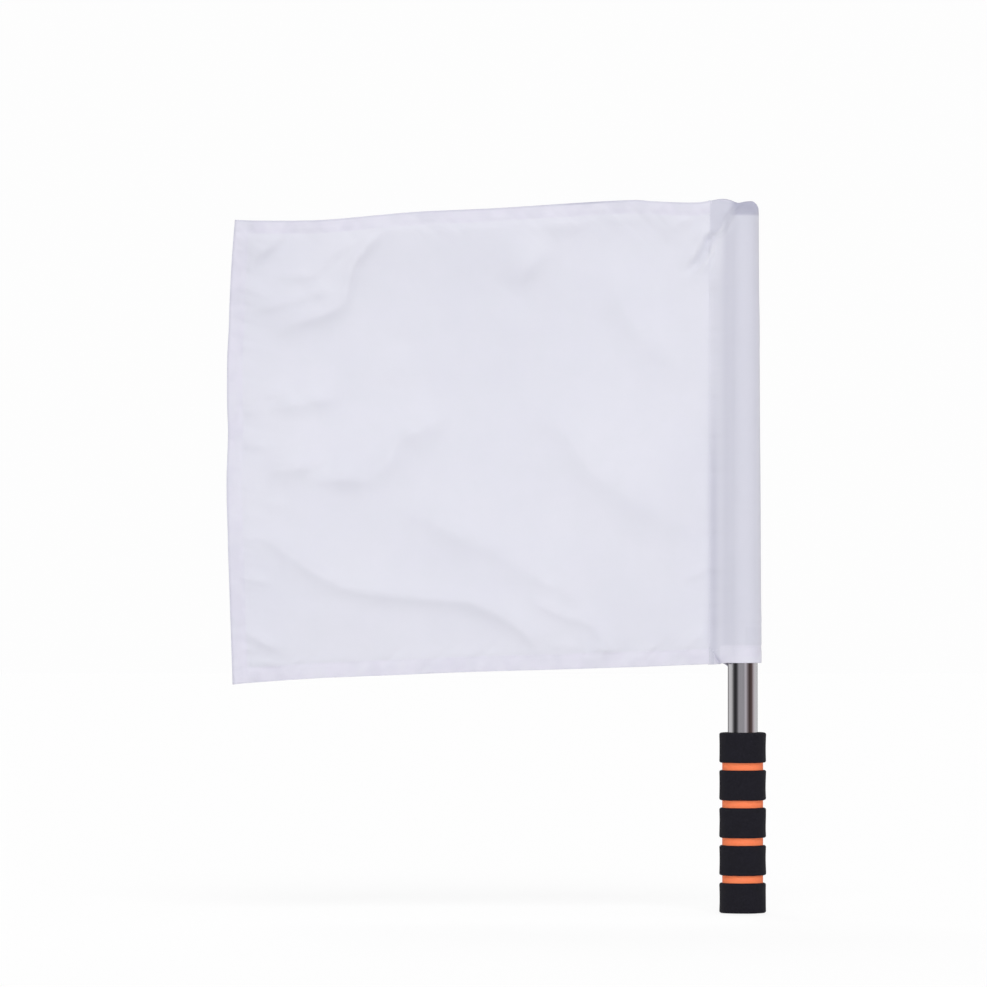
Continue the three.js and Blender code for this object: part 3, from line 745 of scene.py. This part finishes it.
def pocket_relief(points):
    """Moves the pocket's cloth by its patch, puckers, creases and the pull at its top."""
    x, y, z = points[..., 0], points[..., 1], points[..., 2]
    front = smooth(0, -TUBE_RADIUS / 2, y)
    pull, above, _ = pull_at(x, z)
    pull = pull * np.maximum(smooth(0, -FLAP_STAND, y), smooth(SEAM_X + FLAP, SEAM_X, x))
    near_tip = smooth(TIP_TOP - PULL_FLATTENING_DEPTH, TIP_TOP, z)
    flattening = 1 - PULL_FLATTENING_SHARE * above * near_tip * smooth(0, -TUBE_RADIUS, x)
    patch = patch_share(x, z) * front * PATCH_RELIEF
    line = POCKET_BOTTOM + MOUTH_HEM - STITCH_INSET
    sink = STITCH_SINK * bell(z - line, STITCH_SINK_HALF)
    arc = np.arctan2(y, x) * TUBE_RADIUS
    bumps = ripple(arc, PUCKER_PITCH / 2, POCKET_PUCKER_SEED) * np.exp(-np.abs(z - line) / PUCKER_REACH)
    waves = rumple(arc * 2, z, RUMPLE_PITCH, POCKET_WAVE_SEED)
    waves *= smooth(POCKET_BOTTOM, POCKET_BOTTOM + MOUTH_HEM, z)
    patch_top = POCKET_BOTTOM + MOUTH_HEM + PATCH_HEIGHT
    fold = crest(patch_top + PATCH_FOLD_RISE - z, PATCH_FOLD_RISE, PATCH_FOLD_RISE / 2)
    fold = PATCH_FOLD * fold * smooth(-TUBE_RADIUS / 2, TUBE_RADIUS / 2, x) * front
    out = patch - sink + PUCKER_HEIGHT / 3 * bumps + RUMPLE_HEIGHT / 2 * waves + fold
    reach = np.hypot(x, y) + SEAT_GAP
    points[..., 0] += out * np.where(x > -TUBE_RADIUS, x / reach, 0)
    points[..., 1] = np.where(y < 0, y * flattening, y) + out * y / reach - pull
    return points


def patch_share(x, z):
    """1 over the small second layer inside the pocket's front, above the hem of its mouth."""
    bottom = POCKET_BOTTOM + MOUTH_HEM
    top = bottom + PATCH_HEIGHT
    left = RADIUS_BOTTOM / 6
    return (
        smooth(left - PATCH_BLEND, left, x) * smooth(bottom - PATCH_BLEND, bottom, z) *
        smooth(top + PATCH_BLEND, top, z)
    )


def pocket_rows():
    """Rows of the pocket from the inner edge of its mouth hem, round the mouth and up to its closed top."""
    hem = MOUTH_HEM / POCKET_DEPTH
    hem_steps = round(MOUTH_HEM / POCKET_CELL)
    steps = round(POCKET_DEPTH / POCKET_CELL)
    rows = [pocket_row(share, LAYER_STEP) for share in np.linspace(hem, 0, hem_steps + 1)]
    for phase in fold_phases()[::-1]:
        row = pocket_row(0, LAYER_STEP * (1 - math.cos(phase)) / 2)
        row[:, 2] -= LAYER_STEP / 2 * math.sin(phase)
        rows.append(row)
    rows += [pocket_row(share, 0) for share in np.linspace(0, 1, steps + 1)]
    rows += [crown_row(rise) for rise in np.linspace(0, 1, CROWN_STEPS + 1)[1:]]
    return np.array(rows)


def seam_shade(x, z):
    """Painted shade where the seam's layers and the hollow beside it darken the cloth, more so lower down."""
    low = smooth(*SEAM_LOW_SHARES, (z - POCKET_BOTTOM) / POCKET_DEPTH)
    middle, reach = SEAM_SHARES
    dark = SHADE_SHARES["seam"] * (1 - lit_top(z)) + SHADE_SHARES["seam, low down"] * low
    return bell(x - SEAM_X - middle * FLAP, reach * FLAP) * dark


def lit_top(z):
    """1 where the cloth beside the seam stands out to the light, near the tube's tip."""
    start, full = LIT_TOP_SHARES
    return smooth(TIP_TOP - start * PULL_FLATTENING_DEPTH, TIP_TOP - full * PULL_FLATTENING_DEPTH, z)


def pocket_shade(points):
    """Painted shade, 0 to 1, where the dark tube, plug and seam show through the pocket, and in its hollows.
    """
    x, z = points[..., 0], points[..., 2]
    on_pocket = smooth(SEAM_X - FLAP, SEAM_X, x)
    _, above, valley = pull_at(x, z)
    lit_edge = smooth(LIT_EDGE_SHARE * TUBE_RADIUS, TUBE_RADIUS, x)
    tube = smooth(SEAM_X + TUBE_START_SHARE * FLAP * lit_top(z), -TUBE_RADIUS, x)
    tube *= SHADE_SHARES["tube"] - SHADE_SHARES["tube's lit edge"] * lit_edge
    # Painted shadow along the tube's side
    contact = SHADE_SHARES["beside the tube"] * bell(x + CONTACT_SHARE * TUBE_RADIUS, FLAP)
    through = tube + contact + seam_shade(x, z)
    through *= 1 - SHADE_SHARES["off the mouth's hem"] * mouth_hem_share(x, z)
    # Painted shade above the pull
    through = through * (1 - above) + SHADE_SHARES["pull"] * above * on_pocket
    # Painted shade from the tube's tip up over the closed top, darker above the tip
    start, full = PLUG_SHARES
    plug = smooth(TIP_TOP - start * SEAT_GAP, TIP_TOP - full * SEAT_GAP, z)
    plug *= smooth(-TUBE_RADIUS, -TUBE_RADIUS / 3, x)
    plug *= SHADE_SHARES["plug"] + SHADE_SHARES["above the plug"] * smooth(TIP_TOP, TIP_TOP + CROWN_BAND, z)
    patch = SHADE_SHARES["patch"] * patch_share(x, z)
    return np.clip(through + plug + patch + lap_shade(x, z) + SHADE_SHARES["pocket's valley"] * valley, 0, 1)


def lap_shade(x, z):
    """Where the panel's corner, lapped over the mouth, keeps the light off the pocket."""
    height = z - HOIST_BOTTOM
    beyond = x - SEAM_X - LAP_WIDTH * (1 - height / LAP_HEIGHT)
    shade = smooth(-PATCH_BLEND, PATCH_BLEND, beyond) * smooth(FLAP, 0, beyond)
    return SHADE_SHARES["lapped corner"] * shade * smooth(LAP_SHADE_SHARE * LAP_HEIGHT, LAP_HEIGHT, height)


def mouth_hem_share(x, z):
    """1 over the hem of the pocket's mouth, which stops short of the seam."""
    top = POCKET_BOTTOM + MOUTH_HEM
    start = SEAM_X + LAP_WIDTH
    return smooth(top, top - PATCH_BLEND, z) * smooth(start - PATCH_BLEND, start + PATCH_BLEND, x)


def panel_shade(points, across, up):
    """Painted shade on the panel, 0 to 1, at its seam but for the bottom corner, its edges and towards its
    fly.
    """
    x, z = points[..., 0], points[..., 2]
    _, above, valley = pull_at(x, z)
    seam = seam_shade(x, z) * smooth(HOIST_BOTTOM, HOIST_BOTTOM + 2 * LAP_HEIGHT, z) * (1 - above)
    # Painted shadow along the lapped corner's cut edge
    cut = smooth(-HOIST_TUCK / 2, -HOIST_TUCK, across * PANEL_WIDTH)
    cut *= smooth(LAP_HEIGHT, 0, up * PANEL_HEIGHT)
    # Painted shade along the top and fly edges
    middle, reach = TOP_FOLD_SHARES
    top = SHADE_SHARES["top edge"] + SHADE_SHARES["top edge's fold"] * bell(across - middle, reach)
    top *= smooth(1 - PANEL_CELL / PANEL_HEIGHT, 1, up)
    fly = SHADE_SHARES["fly edge"] * smooth(1 - PANEL_CELL / PANEL_WIDTH, 1, across)
    # Painted shade, darker towards the fly
    wear_and_shade = SHADE_SHARES["shade towards the fly"] * smooth(*FLY_SHADE_SHARES, across)
    shade = seam + SHADE_SHARES["panel's valley"] * valley + SHADE_SHARES["corner's cut edge"] * cut
    return np.clip(shade + np.maximum(top, fly) + wear_and_shade, 0, 1)


def cloth_pocket(material):
    """The pocket: one cloth round the tube, its mouth turned in and its top drawn together and sewn."""
    points = pocket_relief(pocket_rows())
    hem = mouth_hem_share(points[..., 0], points[..., 2])
    shade = pocket_shade(points)
    # Painted shade, a dark line along the closed top's edge
    shade[-1] += SHADE_SHARES["closed top"]
    return cloth_piece("cloth_pocket", points, hem, shade, material, "pole_sleeve", "sleeve_bottom_hem")


def cloth_patch(material):
    """The small second layer inside the pocket, just above the hem of its mouth."""
    low, high = (MOUTH_HEM + SEAT_GAP) / POCKET_DEPTH, (MOUTH_HEM + PATCH_HEIGHT) / POCKET_DEPTH
    first = ARC_STEPS // 2 + WEB_STEPS + 2
    shares = np.linspace(low, high, round(PATCH_HEIGHT / POCKET_CELL) + 1)
    points = np.array([pocket_row(share, 2 * CLOTH)[first - ARC_STEPS // 3:first + 1] for share in shares])
    hem = np.ones(points.shape[:2])
    return cloth_piece("cloth_patch", points, hem, np.zeros_like(hem), material, "mouth_patch")


def stitches(name, line, away, material):
    """A row of stitches along a line of points, each standing a little off the cloth along away."""
    line = np.asarray(line, dtype=float)
    away = np.broadcast_to(np.asarray(away, dtype=float), line.shape)
    travelled = np.concatenate(([0], np.cumsum(np.linalg.norm(np.diff(line, axis=0), axis=1))))
    places, heights = np.array(STITCH_SHARES).T
    at = (np.arange(int(travelled[-1] / STITCH_PITCH))[:, None] + places) * STITCH_PITCH

    def part_way(values, at):
        """The values at lengths along the line."""
        return np.stack([np.interp(at, travelled, values[:, k]) for k in range(3)], axis=-1)

    outward = part_way(away, at)
    heading = part_way(line, at + STITCH_PITCH / 4) - part_way(line, at - STITCH_PITCH / 4)
    heading /= np.linalg.norm(heading, axis=-1, keepdims=True)
    across = np.cross(heading, outward)
    across /= np.linalg.norm(across, axis=-1, keepdims=True)
    centres = part_way(line, at) + outward * (CLOTH / 2 + heights[:, None] * THREAD_RADIUS)
    angles = np.linspace(0, 2 * math.pi, THREAD_SIDES, endpoint=False)[:, None]
    spokes = np.cos(angles) * across[..., None, :] + np.sin(angles) * outward[..., None, :]
    points = (centres[..., None, :] + THREAD_RADIUS * spokes).reshape(-1, 3)
    faces = []
    for rings in np.arange(len(points)).reshape(-1, len(places), THREAD_SIDES):
        for near, far in zip(rings, rings[1:]):
            faces += np.stack((near, np.roll(near, -1), np.roll(far, -1), far), axis=1).tolist()
        faces += [rings[0, ::-1].tolist(), rings[-1].tolist()]
    return finish_piece(new_piece(name, points.tolist(), faces), material, "flag", "polyester")


def panel_threads(material):
    """Stitch rows of the three hems, on the front and on the back."""
    steps = round(PANEL_WIDTH / STITCH_PITCH) * 2
    along = np.linspace(0, 1, steps)
    top = 1 - (TOP_HEM - STITCH_INSET) / PANEL_HEIGHT
    bottom = (BOTTOM_HEM - STITCH_INSET) / PANEL_HEIGHT
    fly = 1 - (FLY_HEM - STITCH_INSET) / PANEL_WIDTH
    rows = {
        "top_hem_stitches": (along, np.full(steps, top)),
        "bottom_hem_stitches": (along, np.full(steps, bottom)),
        "fly_hem_stitches": (np.full(steps, fly), along),
    }
    made = []
    for name, (across, up) in rows.items():
        made.append(stitches(name, panel_points(across, up), (0, -1, 0), material))
        depth = fly_hem_depth(up) if name == "fly_hem_stitches" else LAYER_STEP
        made.append(stitches(name + "_back", panel_points(across, up, depth), (0, 1, 0), material))
    return made


def pocket_threads(material):
    """Stitch rows of the seam, on the front and on the back, and of the mouth's hem."""
    points = pocket_relief(pocket_rows())
    first_front = round(MOUTH_HEM / POCKET_CELL) + 1 + FOLD_STEPS
    seam = points[first_front:-2]
    ring = points[first_front + round((MOUTH_HEM - STITCH_INSET) / POCKET_CELL), 2:-2]
    away = ring * (1, 1, 0)
    away = away / np.linalg.norm(away, axis=1, keepdims=True)
    return [
        stitches("seam_stitches", seam[:, 1], (0, -1, 0), material),
        stitches("seam_stitches_back", seam[:, -2], (0, 1, 0), material),
        stitches("mouth_stitches", ring, away, material),
    ]


def turned(name, outline, uneven=0.0, seed=0):
    """A piece turned about the tube's axis from a closed outline of (radius, height) points."""
    angles = np.linspace(0, 2 * math.pi, ROUND_STEPS, endpoint=False)[:, None]
    radius, height = [np.tile(values, (ROUND_STEPS, 1)) for values in np.array(outline).T]
    if uneven:
        outer = radius > RING_BORE
        arc = angles * RING_RADIUS
        back = arc - 2 * math.pi * RING_RADIUS
        turn = smooth(0, 1, angles / (2 * math.pi))
        near, far = [rumple(at, height, UNEVEN_PITCH, seed) for at in (arc, back)]
        radius = radius + uneven * (near * (1 - turn) + far * turn)
        near, far = [ripple(at, UNEVEN_PITCH, seed) for at in (arc, back)]
        lean = near * (1 - turn) + far * turn
        middle = (height.max() + height.min()) / 2
        reach = (height.max() - height.min()) / 2
        height = height + uneven * lean * np.abs((height - middle) / reach) ** 3 * outer
    points = np.stack((radius * np.cos(angles), radius * np.sin(angles), height), axis=-1)
    return flat_mesh(name, np.pad(points, ((0, 1), (0, 1), (0, 0)), mode="wrap"))


def rounded(bore, radius, bottom, top, edge, flare=0.0):
    """Closed outline of a ring with its two outer edges rounded, a little wider towards its ends."""
    quarter = np.linspace(0, math.pi / 2, EDGE_STEPS + 1)
    points = [(bore, bottom)]
    points += [(radius - edge * (1 - math.sin(t)), bottom + edge * (1 - math.cos(t))) for t in quarter]
    shares = np.linspace(0, 1, 2 * EDGE_STEPS + 1)[1:-1]
    points += [(radius, bottom + edge + (top - bottom - 2 * edge) * share) for share in shares]
    points += [(radius - edge * (1 - math.cos(t)), top - edge * (1 - math.sin(t))) for t in quarter]
    points.append((bore, top))
    middle = (bottom + top) / 2
    half = (top - bottom) / 2
    return [(r - flare * (1 - abs((h - middle) / half) ** 2) * (r > bore), h) for r, h in points]


class Nodes:
    """The nodes of a tree, with short ways to add, feed and combine them."""

    def __init__(self, tree):
        self.tree = tree

    def add(self, kind, **settings):
        """A new node of a kind, with its settings."""
        node = self.tree.nodes.new("ShaderNode" + kind)
        for name, value in settings.items():
            setattr(node, name, value)
        return node

    def feed(self, socket, value):
        """Gives an input a plain value, or links it to another node's output."""
        if isinstance(value, bpy.types.NodeSocket):
            self.tree.links.new(value, socket)
        else:
            socket.default_value = value

    def fill(self, node, **inputs):
        """Feeds a node's inputs, which are named with underscores for spaces."""
        for name, value in inputs.items():
            self.feed(node.inputs[name.replace("_", " ")], value)
        return node

    def number(self, operation, first, second=0.0):
        """Does a sum with two numbers, each a plain one or an output."""
        node = self.add("Math", operation=operation)
        self.feed(node.inputs[0], first)
        self.feed(node.inputs[1], second)
        return node.outputs[0]

    def plus(self, first, second, name):
        """A number with a share of a second one added."""
        return self.number("ADD", first, self.number("MULTIPLY", second, SUM_SHARES[name]))

    def spread(self, source, name):
        """Maps a range of a number onto another range."""
        node = self.add("MapRange")
        low, high, to_low, to_high = SPREADS[name]
        self.fill(node, Value=source, From_Min=low, From_Max=high, To_Min=to_low, To_Max=to_high)
        return node.outputs["Result"]

    def blend(self, factor, first, second):
        """Mixes two colours, each a plain one or an output."""
        node = self.add("Mix", data_type="RGBA")
        for place, value in ((0, factor), (6, first), (7, second)):
            self.feed(node.inputs[place], value)
        return node.outputs[2]

    def noise(self, coords, scale, detail, stretch=None, roughness=NOISE_ROUGHNESS):
        """Noise over coordinates, which are stretched by shares along each axis if they are given."""
        if stretch:
            coords = self.fill(self.add("Mapping"), Vector=coords, Scale=stretch).outputs["Vector"]
        node = self.add("TexNoise")
        return self.fill(node, Vector=coords, Scale=scale, Detail=detail, Roughness=roughness).outputs["Fac"]

    def noises(self, coords, *names):
        """The noises of those names over the same coordinates."""
        return [self.noise(coords, *NOISES[name]) for name in names]

    def bump(self, height, name):
        """The normal of a fine relief."""
        strength, distance = RELIEFS[name]
        node = self.fill(self.add("Bump"), Height=height, Strength=strength, Distance=distance)
        return node.outputs["Normal"]


def new_look(name):
    """A new material, its nodes, its shader, and the object's coordinates and UVs."""
    material = bpy.data.materials.new(name)
    material.use_nodes = True
    nodes = Nodes(material.node_tree)
    coords = nodes.add("TexCoord").outputs
    return material, nodes, nodes.tree.nodes["Principled BSDF"], coords["Object"], coords["UV"]


def polyester():
    """White plain-woven polyester: fine weave, soft sheen, faint greying, lighter doubled hems, painted
    shade.
    """
    material, nodes, shader, coords, flat = new_look("white_polyester")
    axes = nodes.fill(nodes.add("SeparateXYZ"), Vector=flat).outputs
    turns = [nodes.number("MULTIPLY", axes[axis], math.pi / WEAVE_PITCH) for axis in ("X", "Y")]
    warp, weft = [nodes.number("SINE", turn) for turn in turns]
    fibres, slubs = nodes.noises(flat, "fibres", "slubs")
    relief = nodes.plus(nodes.number("MULTIPLY", warp, weft), fibres, "fibres")
    normal = nodes.bump(nodes.plus(relief, slubs, "slubs"), "weave")
    clouds, blotches, patches = nodes.noises(coords, "clouds", "blotches", "hem patches")
    hem, shade = [nodes.add("Attribute", attribute_name=name).outputs["Fac"] for name in ("hem", "shade")]
    dark, light, greyed = POLYESTER_COLOURS
    base = nodes.blend(nodes.spread(clouds, "cloud tone"), dark, light)
    base = nodes.blend(nodes.spread(blotches, "greying"), base, greyed)
    lighter = nodes.number("MULTIPLY", hem, nodes.spread(blotches, "hem lightness"))
    darker = nodes.number("MULTIPLY", hem, nodes.spread(patches, "hem darkness"))
    # Blends in the lighter and darker hem patches, then the painted shade of the shade layer
    for factor, colour in ((lighter, HEM_COLOUR), (darker, SHADE_COLOUR), (shade, SHADE_COLOUR)):
        base = nodes.blend(factor, base, colour)
    roughness = nodes.spread(slubs, "cloth roughness")
    nodes.fill(shader, Base_Color=base, Roughness=roughness, Specular_IOR_Level=0.3, Normal=normal)
    nodes.fill(shader, Sheen_Weight=0.12, Sheen_Roughness=0.4)
    return material


def thread():
    """Spun polyester thread: twisted plies."""
    material, nodes, shader, coords, _ = new_look("sewing_thread")
    plies = nodes.noise(coords, *NOISES["plies"])
    colour = nodes.blend(plies, *THREAD_COLOURS)
    normal = nodes.bump(plies, "plies")
    nodes.fill(shader, Base_Color=colour, Roughness=0.6, Sheen_Weight=0.2, Normal=normal)
    return material


def foam(name, dark, light, wear_and_shade):
    """Closed-cell foam: fine pores, a skin of uneven gloss and rubbed places."""
    material, nodes, shader, coords, _ = new_look(name)
    cells = nodes.fill(nodes.add("TexVoronoi", feature="F1"), Vector=coords, Scale=PORE_SCALE)
    pores = nodes.spread(cells.outputs["Distance"], "pores")
    grain, patches, rubbed = nodes.noises(coords, "foam grain", "foam patches", "rubbed places")
    tone = nodes.spread(nodes.plus(grain, patches, "foam patches"), "foam tone")
    colour = nodes.blend(nodes.spread(rubbed, "rubbed tone"), nodes.blend(tone, dark, light), wear_and_shade)
    roughness = nodes.spread(patches, "foam roughness")
    normal = nodes.bump(nodes.plus(grain, pores, "pores"), "pores")
    nodes.fill(shader, Base_Color=colour, Roughness=roughness, Specular_IOR_Level=0.12, Normal=normal)
    return material


def steel():
    """Bright drawn stainless tube: fine lines along it, faint smears and small scratches."""
    material, nodes, shader, coords, _ = new_look("stainless_tube")
    lines, smears, scratches = nodes.noises(coords, "drawn lines", "smears", "scratches")
    scratches = nodes.spread(scratches, "scratches")
    dark, light, smeared = STEEL_COLOURS
    colour = nodes.blend(nodes.spread(smears, "smear tone"), nodes.blend(lines, dark, light), smeared)
    roughness = nodes.plus(nodes.spread(smears, "smear roughness"), scratches, "scratches")
    normal = nodes.bump(nodes.number("SUBTRACT", lines, scratches), "drawn lines")
    nodes.fill(shader, Base_Color=colour, Roughness=roughness, Metallic=1.0, Normal=normal)
    return material


def plug_plastic():
    """Moulded black plastic with a fine matt grain."""
    material, nodes, shader, coords, _ = new_look("moulded_plastic")
    grain, wear = nodes.noises(coords, "plastic grain", "wear")
    colour = nodes.blend(nodes.spread(wear, "wear tone"), *PLUG_COLOURS)
    roughness = nodes.spread(wear, "wear roughness")
    normal = nodes.bump(grain, "plastic grain")
    nodes.fill(shader, Base_Color=colour, Roughness=roughness, Normal=normal)
    return material


def pole_pieces():
    """The tube, the butt plug and the foam grip, turned finer than the solids that they stand for."""
    bottom = PLUG_HEAD + SEAT_GAP
    top = TIP_TOP - PLUG_HEAD - SEAT_GAP
    tube = turned("steel_tube", rounded(TUBE_RADIUS - TUBE_WALL, TUBE_RADIUS, bottom, top, TUBE_EDGE))
    finish_piece(tube, steel(), "pole", "steel_tube", "pole_tube")
    plastic = plug_plastic()
    head = [
        (0, PLUG_DISH), (PLUG_DISH_RADIUS, PLUG_DISH), (PLUG_DISH_RADIUS + PLUG_DISH, 0),
        (TUBE_RADIUS - PLUG_EDGE, 0), (TUBE_RADIUS - PLUG_EDGE / 3, PLUG_EDGE / 3), (TUBE_RADIUS, PLUG_EDGE),
        (TUBE_RADIUS, PLUG_HEAD), (PLUG_STEM_RADIUS, PLUG_HEAD), (PLUG_STEM_RADIUS, PLUG_HEAD + PLUG_STEM),
        (0, PLUG_HEAD + PLUG_STEM),
    ]
    plug = turned("moulded_butt_plug", head)
    finish_piece(plug, plastic, "pole", "plug_plastic", "butt_plug")
    for slot in bpy.data.objects["tip_plug"].material_slots:
        slot.material = plastic
    orange = foam("orange_foam", *ORANGE_FOAM_COLOURS)
    black = foam("black_foam", *BLACK_FOAM_COLOURS)
    outline = rounded(CORE_BORE, CORE_RADIUS, CORE_INSET, GRIP_HEIGHT - 2 * CORE_INSET, CORE_EDGE)
    core = turned("foam_core", densified(outline, GROOVE_HEIGHT / 4), CORE_UNEVEN, CORE_SEED)
    finish_piece(core, orange, "pole", "orange_foam", "grip_core")
    for place in range(RING_COUNT):
        low = place * (RING_HEIGHT + GROOVE_HEIGHT)
        outline = rounded(RING_BORE, RING_RADIUS, low, low + RING_HEIGHT, RING_EDGE, RING_FLARE)
        ring = turned(f"foam_ring_{place + 1}", outline, RING_UNEVEN, RING_SEED + place)
        finish_piece(ring, black, "pole", "black_foam", f"grip_ring_{place + 1}")


def densified(outline, longest):
    """The same outline with points added so that no stretch of it is longer than given."""
    points = []
    for (r0, h0), (r1, h1) in zip(outline, outline[1:]):
        count = max(1, math.ceil(math.hypot(r1 - r0, h1 - h0) / longest))
        points += [(r0 + (r1 - r0) * i / count, h0 + (h1 - h0) * i / count) for i in range(count)]
    return points + [outline[-1]]


def background_rays(nodes):
    """1 for rays that see the background as it is: from the camera, and through gloss or glass."""
    rays = nodes.add("LightPath").outputs
    seen = nodes.number("MAXIMUM", rays["Is Camera Ray"], rays["Is Glossy Ray"])
    return nodes.number("MAXIMUM", seen, rays["Is Transmission Ray"])


def make_world():
    """Even light from all round, which rays that see the background find nearly white."""
    world = bpy.data.worlds.new("studio")
    bpy.context.scene.world = world
    world.use_nodes = True
    nodes = Nodes(world.node_tree)
    strength = nodes.spread(background_rays(nodes), "world's light")
    nodes.fill(nodes.tree.nodes["Background"], Color=WHITE, Strength=strength)


def make_floor():
    """A plain pale floor that shows white but keeps the object's shadow."""
    corners = [(x * FLOOR_HALF, y * FLOOR_HALF, -FLOOR_DROP) for x, y in ((-1, -1), (1, -1), (1, 1), (-1, 1))]
    floor = new_piece("floor", corners, [(0, 1, 2, 3)])
    material, nodes, shader, *_ = new_look("pale_floor")
    nodes.fill(shader, Base_Color=FLOOR_COLOUR, Roughness=1.0, Specular_IOR_Level=0.0)
    glow = nodes.fill(nodes.add("Emission"), Color=WHITE, Strength=FLOOR_GLOW)
    mixed = nodes.add("MixShader")
    share = nodes.spread(background_rays(nodes), "floor's glow")
    for socket, value in zip(mixed.inputs, (share, shader.outputs[0], glow.outputs[0])):
        nodes.feed(socket, value)
    nodes.fill(nodes.tree.nodes["Material Output"], Surface=mixed.outputs[0])
    floor.data.materials.append(material)


def make_screen():
    """A curved studio screen that only the tube's gloss sees, dark and light in upright bands."""
    stops = np.array(SCREEN_STOPS)
    angles = np.linspace(stops[0, 0], stops[-1, 0], SCREEN_STEPS + 1)
    turns = np.radians(angles)
    x, y = SCREEN_DISTANCE * np.sin(turns), -SCREEN_DISTANCE * np.cos(turns)
    rows = [np.stack((x, y, np.full_like(x, height)), axis=1) for height in (0, SCREEN_TOP)]
    screen = flat_mesh("screen", np.array(rows))
    colours = [np.interp(angles, stops[:, 0], stops[:, k]) for k in (1, 2, 3)]
    bands = np.stack((*colours, np.ones(len(angles))), axis=1)
    layer = screen.data.attributes.new("bands", "FLOAT_COLOR", "POINT")
    layer.data.foreach_set("color", np.concatenate((bands, bands)).reshape(-1))
    material, nodes, *_ = new_look("screen")
    colour = nodes.add("Attribute", attribute_name="bands").outputs["Color"]
    glow = nodes.fill(nodes.add("Emission"), Color=colour)
    nodes.fill(nodes.tree.nodes["Material Output"], Surface=glow.outputs[0])
    screen.data.materials.append(material)
    for kind in ("camera", "diffuse", "transmission", "shadow", "volume_scatter"):
        setattr(screen, "visible_" + kind, False)


def make_lamps():
    """The three soft lamps."""
    for name, (strength, side, rise, softness) in LAMPS.items():
        lamp = bpy.data.lights.new(name, "SUN")
        lamp.energy = strength
        lamp.angle = softness
        new_object(name, lamp).rotation_euler = (math.pi / 2 - rise, 0, side)


def make_camera():
    """The camera, level with the middle of the view and square to the flag's front."""
    data = bpy.data.cameras.new("camera")
    data.sensor_width = SENSOR_WIDTH
    data.lens = SENSOR_WIDTH * CAMERA_DISTANCE / VIEW_WIDTH
    camera = new_object("camera", data)
    camera.location = (VIEW_CENTRE[0], -CAMERA_DISTANCE, VIEW_CENTRE[1])
    camera.rotation_euler = (math.pi / 2, 0, 0)
    bpy.context.scene.camera = camera


make_camera()
make_world()
make_lamps()
make_floor()
make_screen()
bpy.context.scene.view_settings.view_transform = "Standard"

pole_pieces()
cloth = polyester()
yarn = thread()
panel = cloth_panel(cloth)
pocket = cloth_pocket(cloth)
patch = cloth_patch(cloth)
panel_rows_sewn = panel_threads(yarn)
pocket_rows_sewn = pocket_threads(yarn)
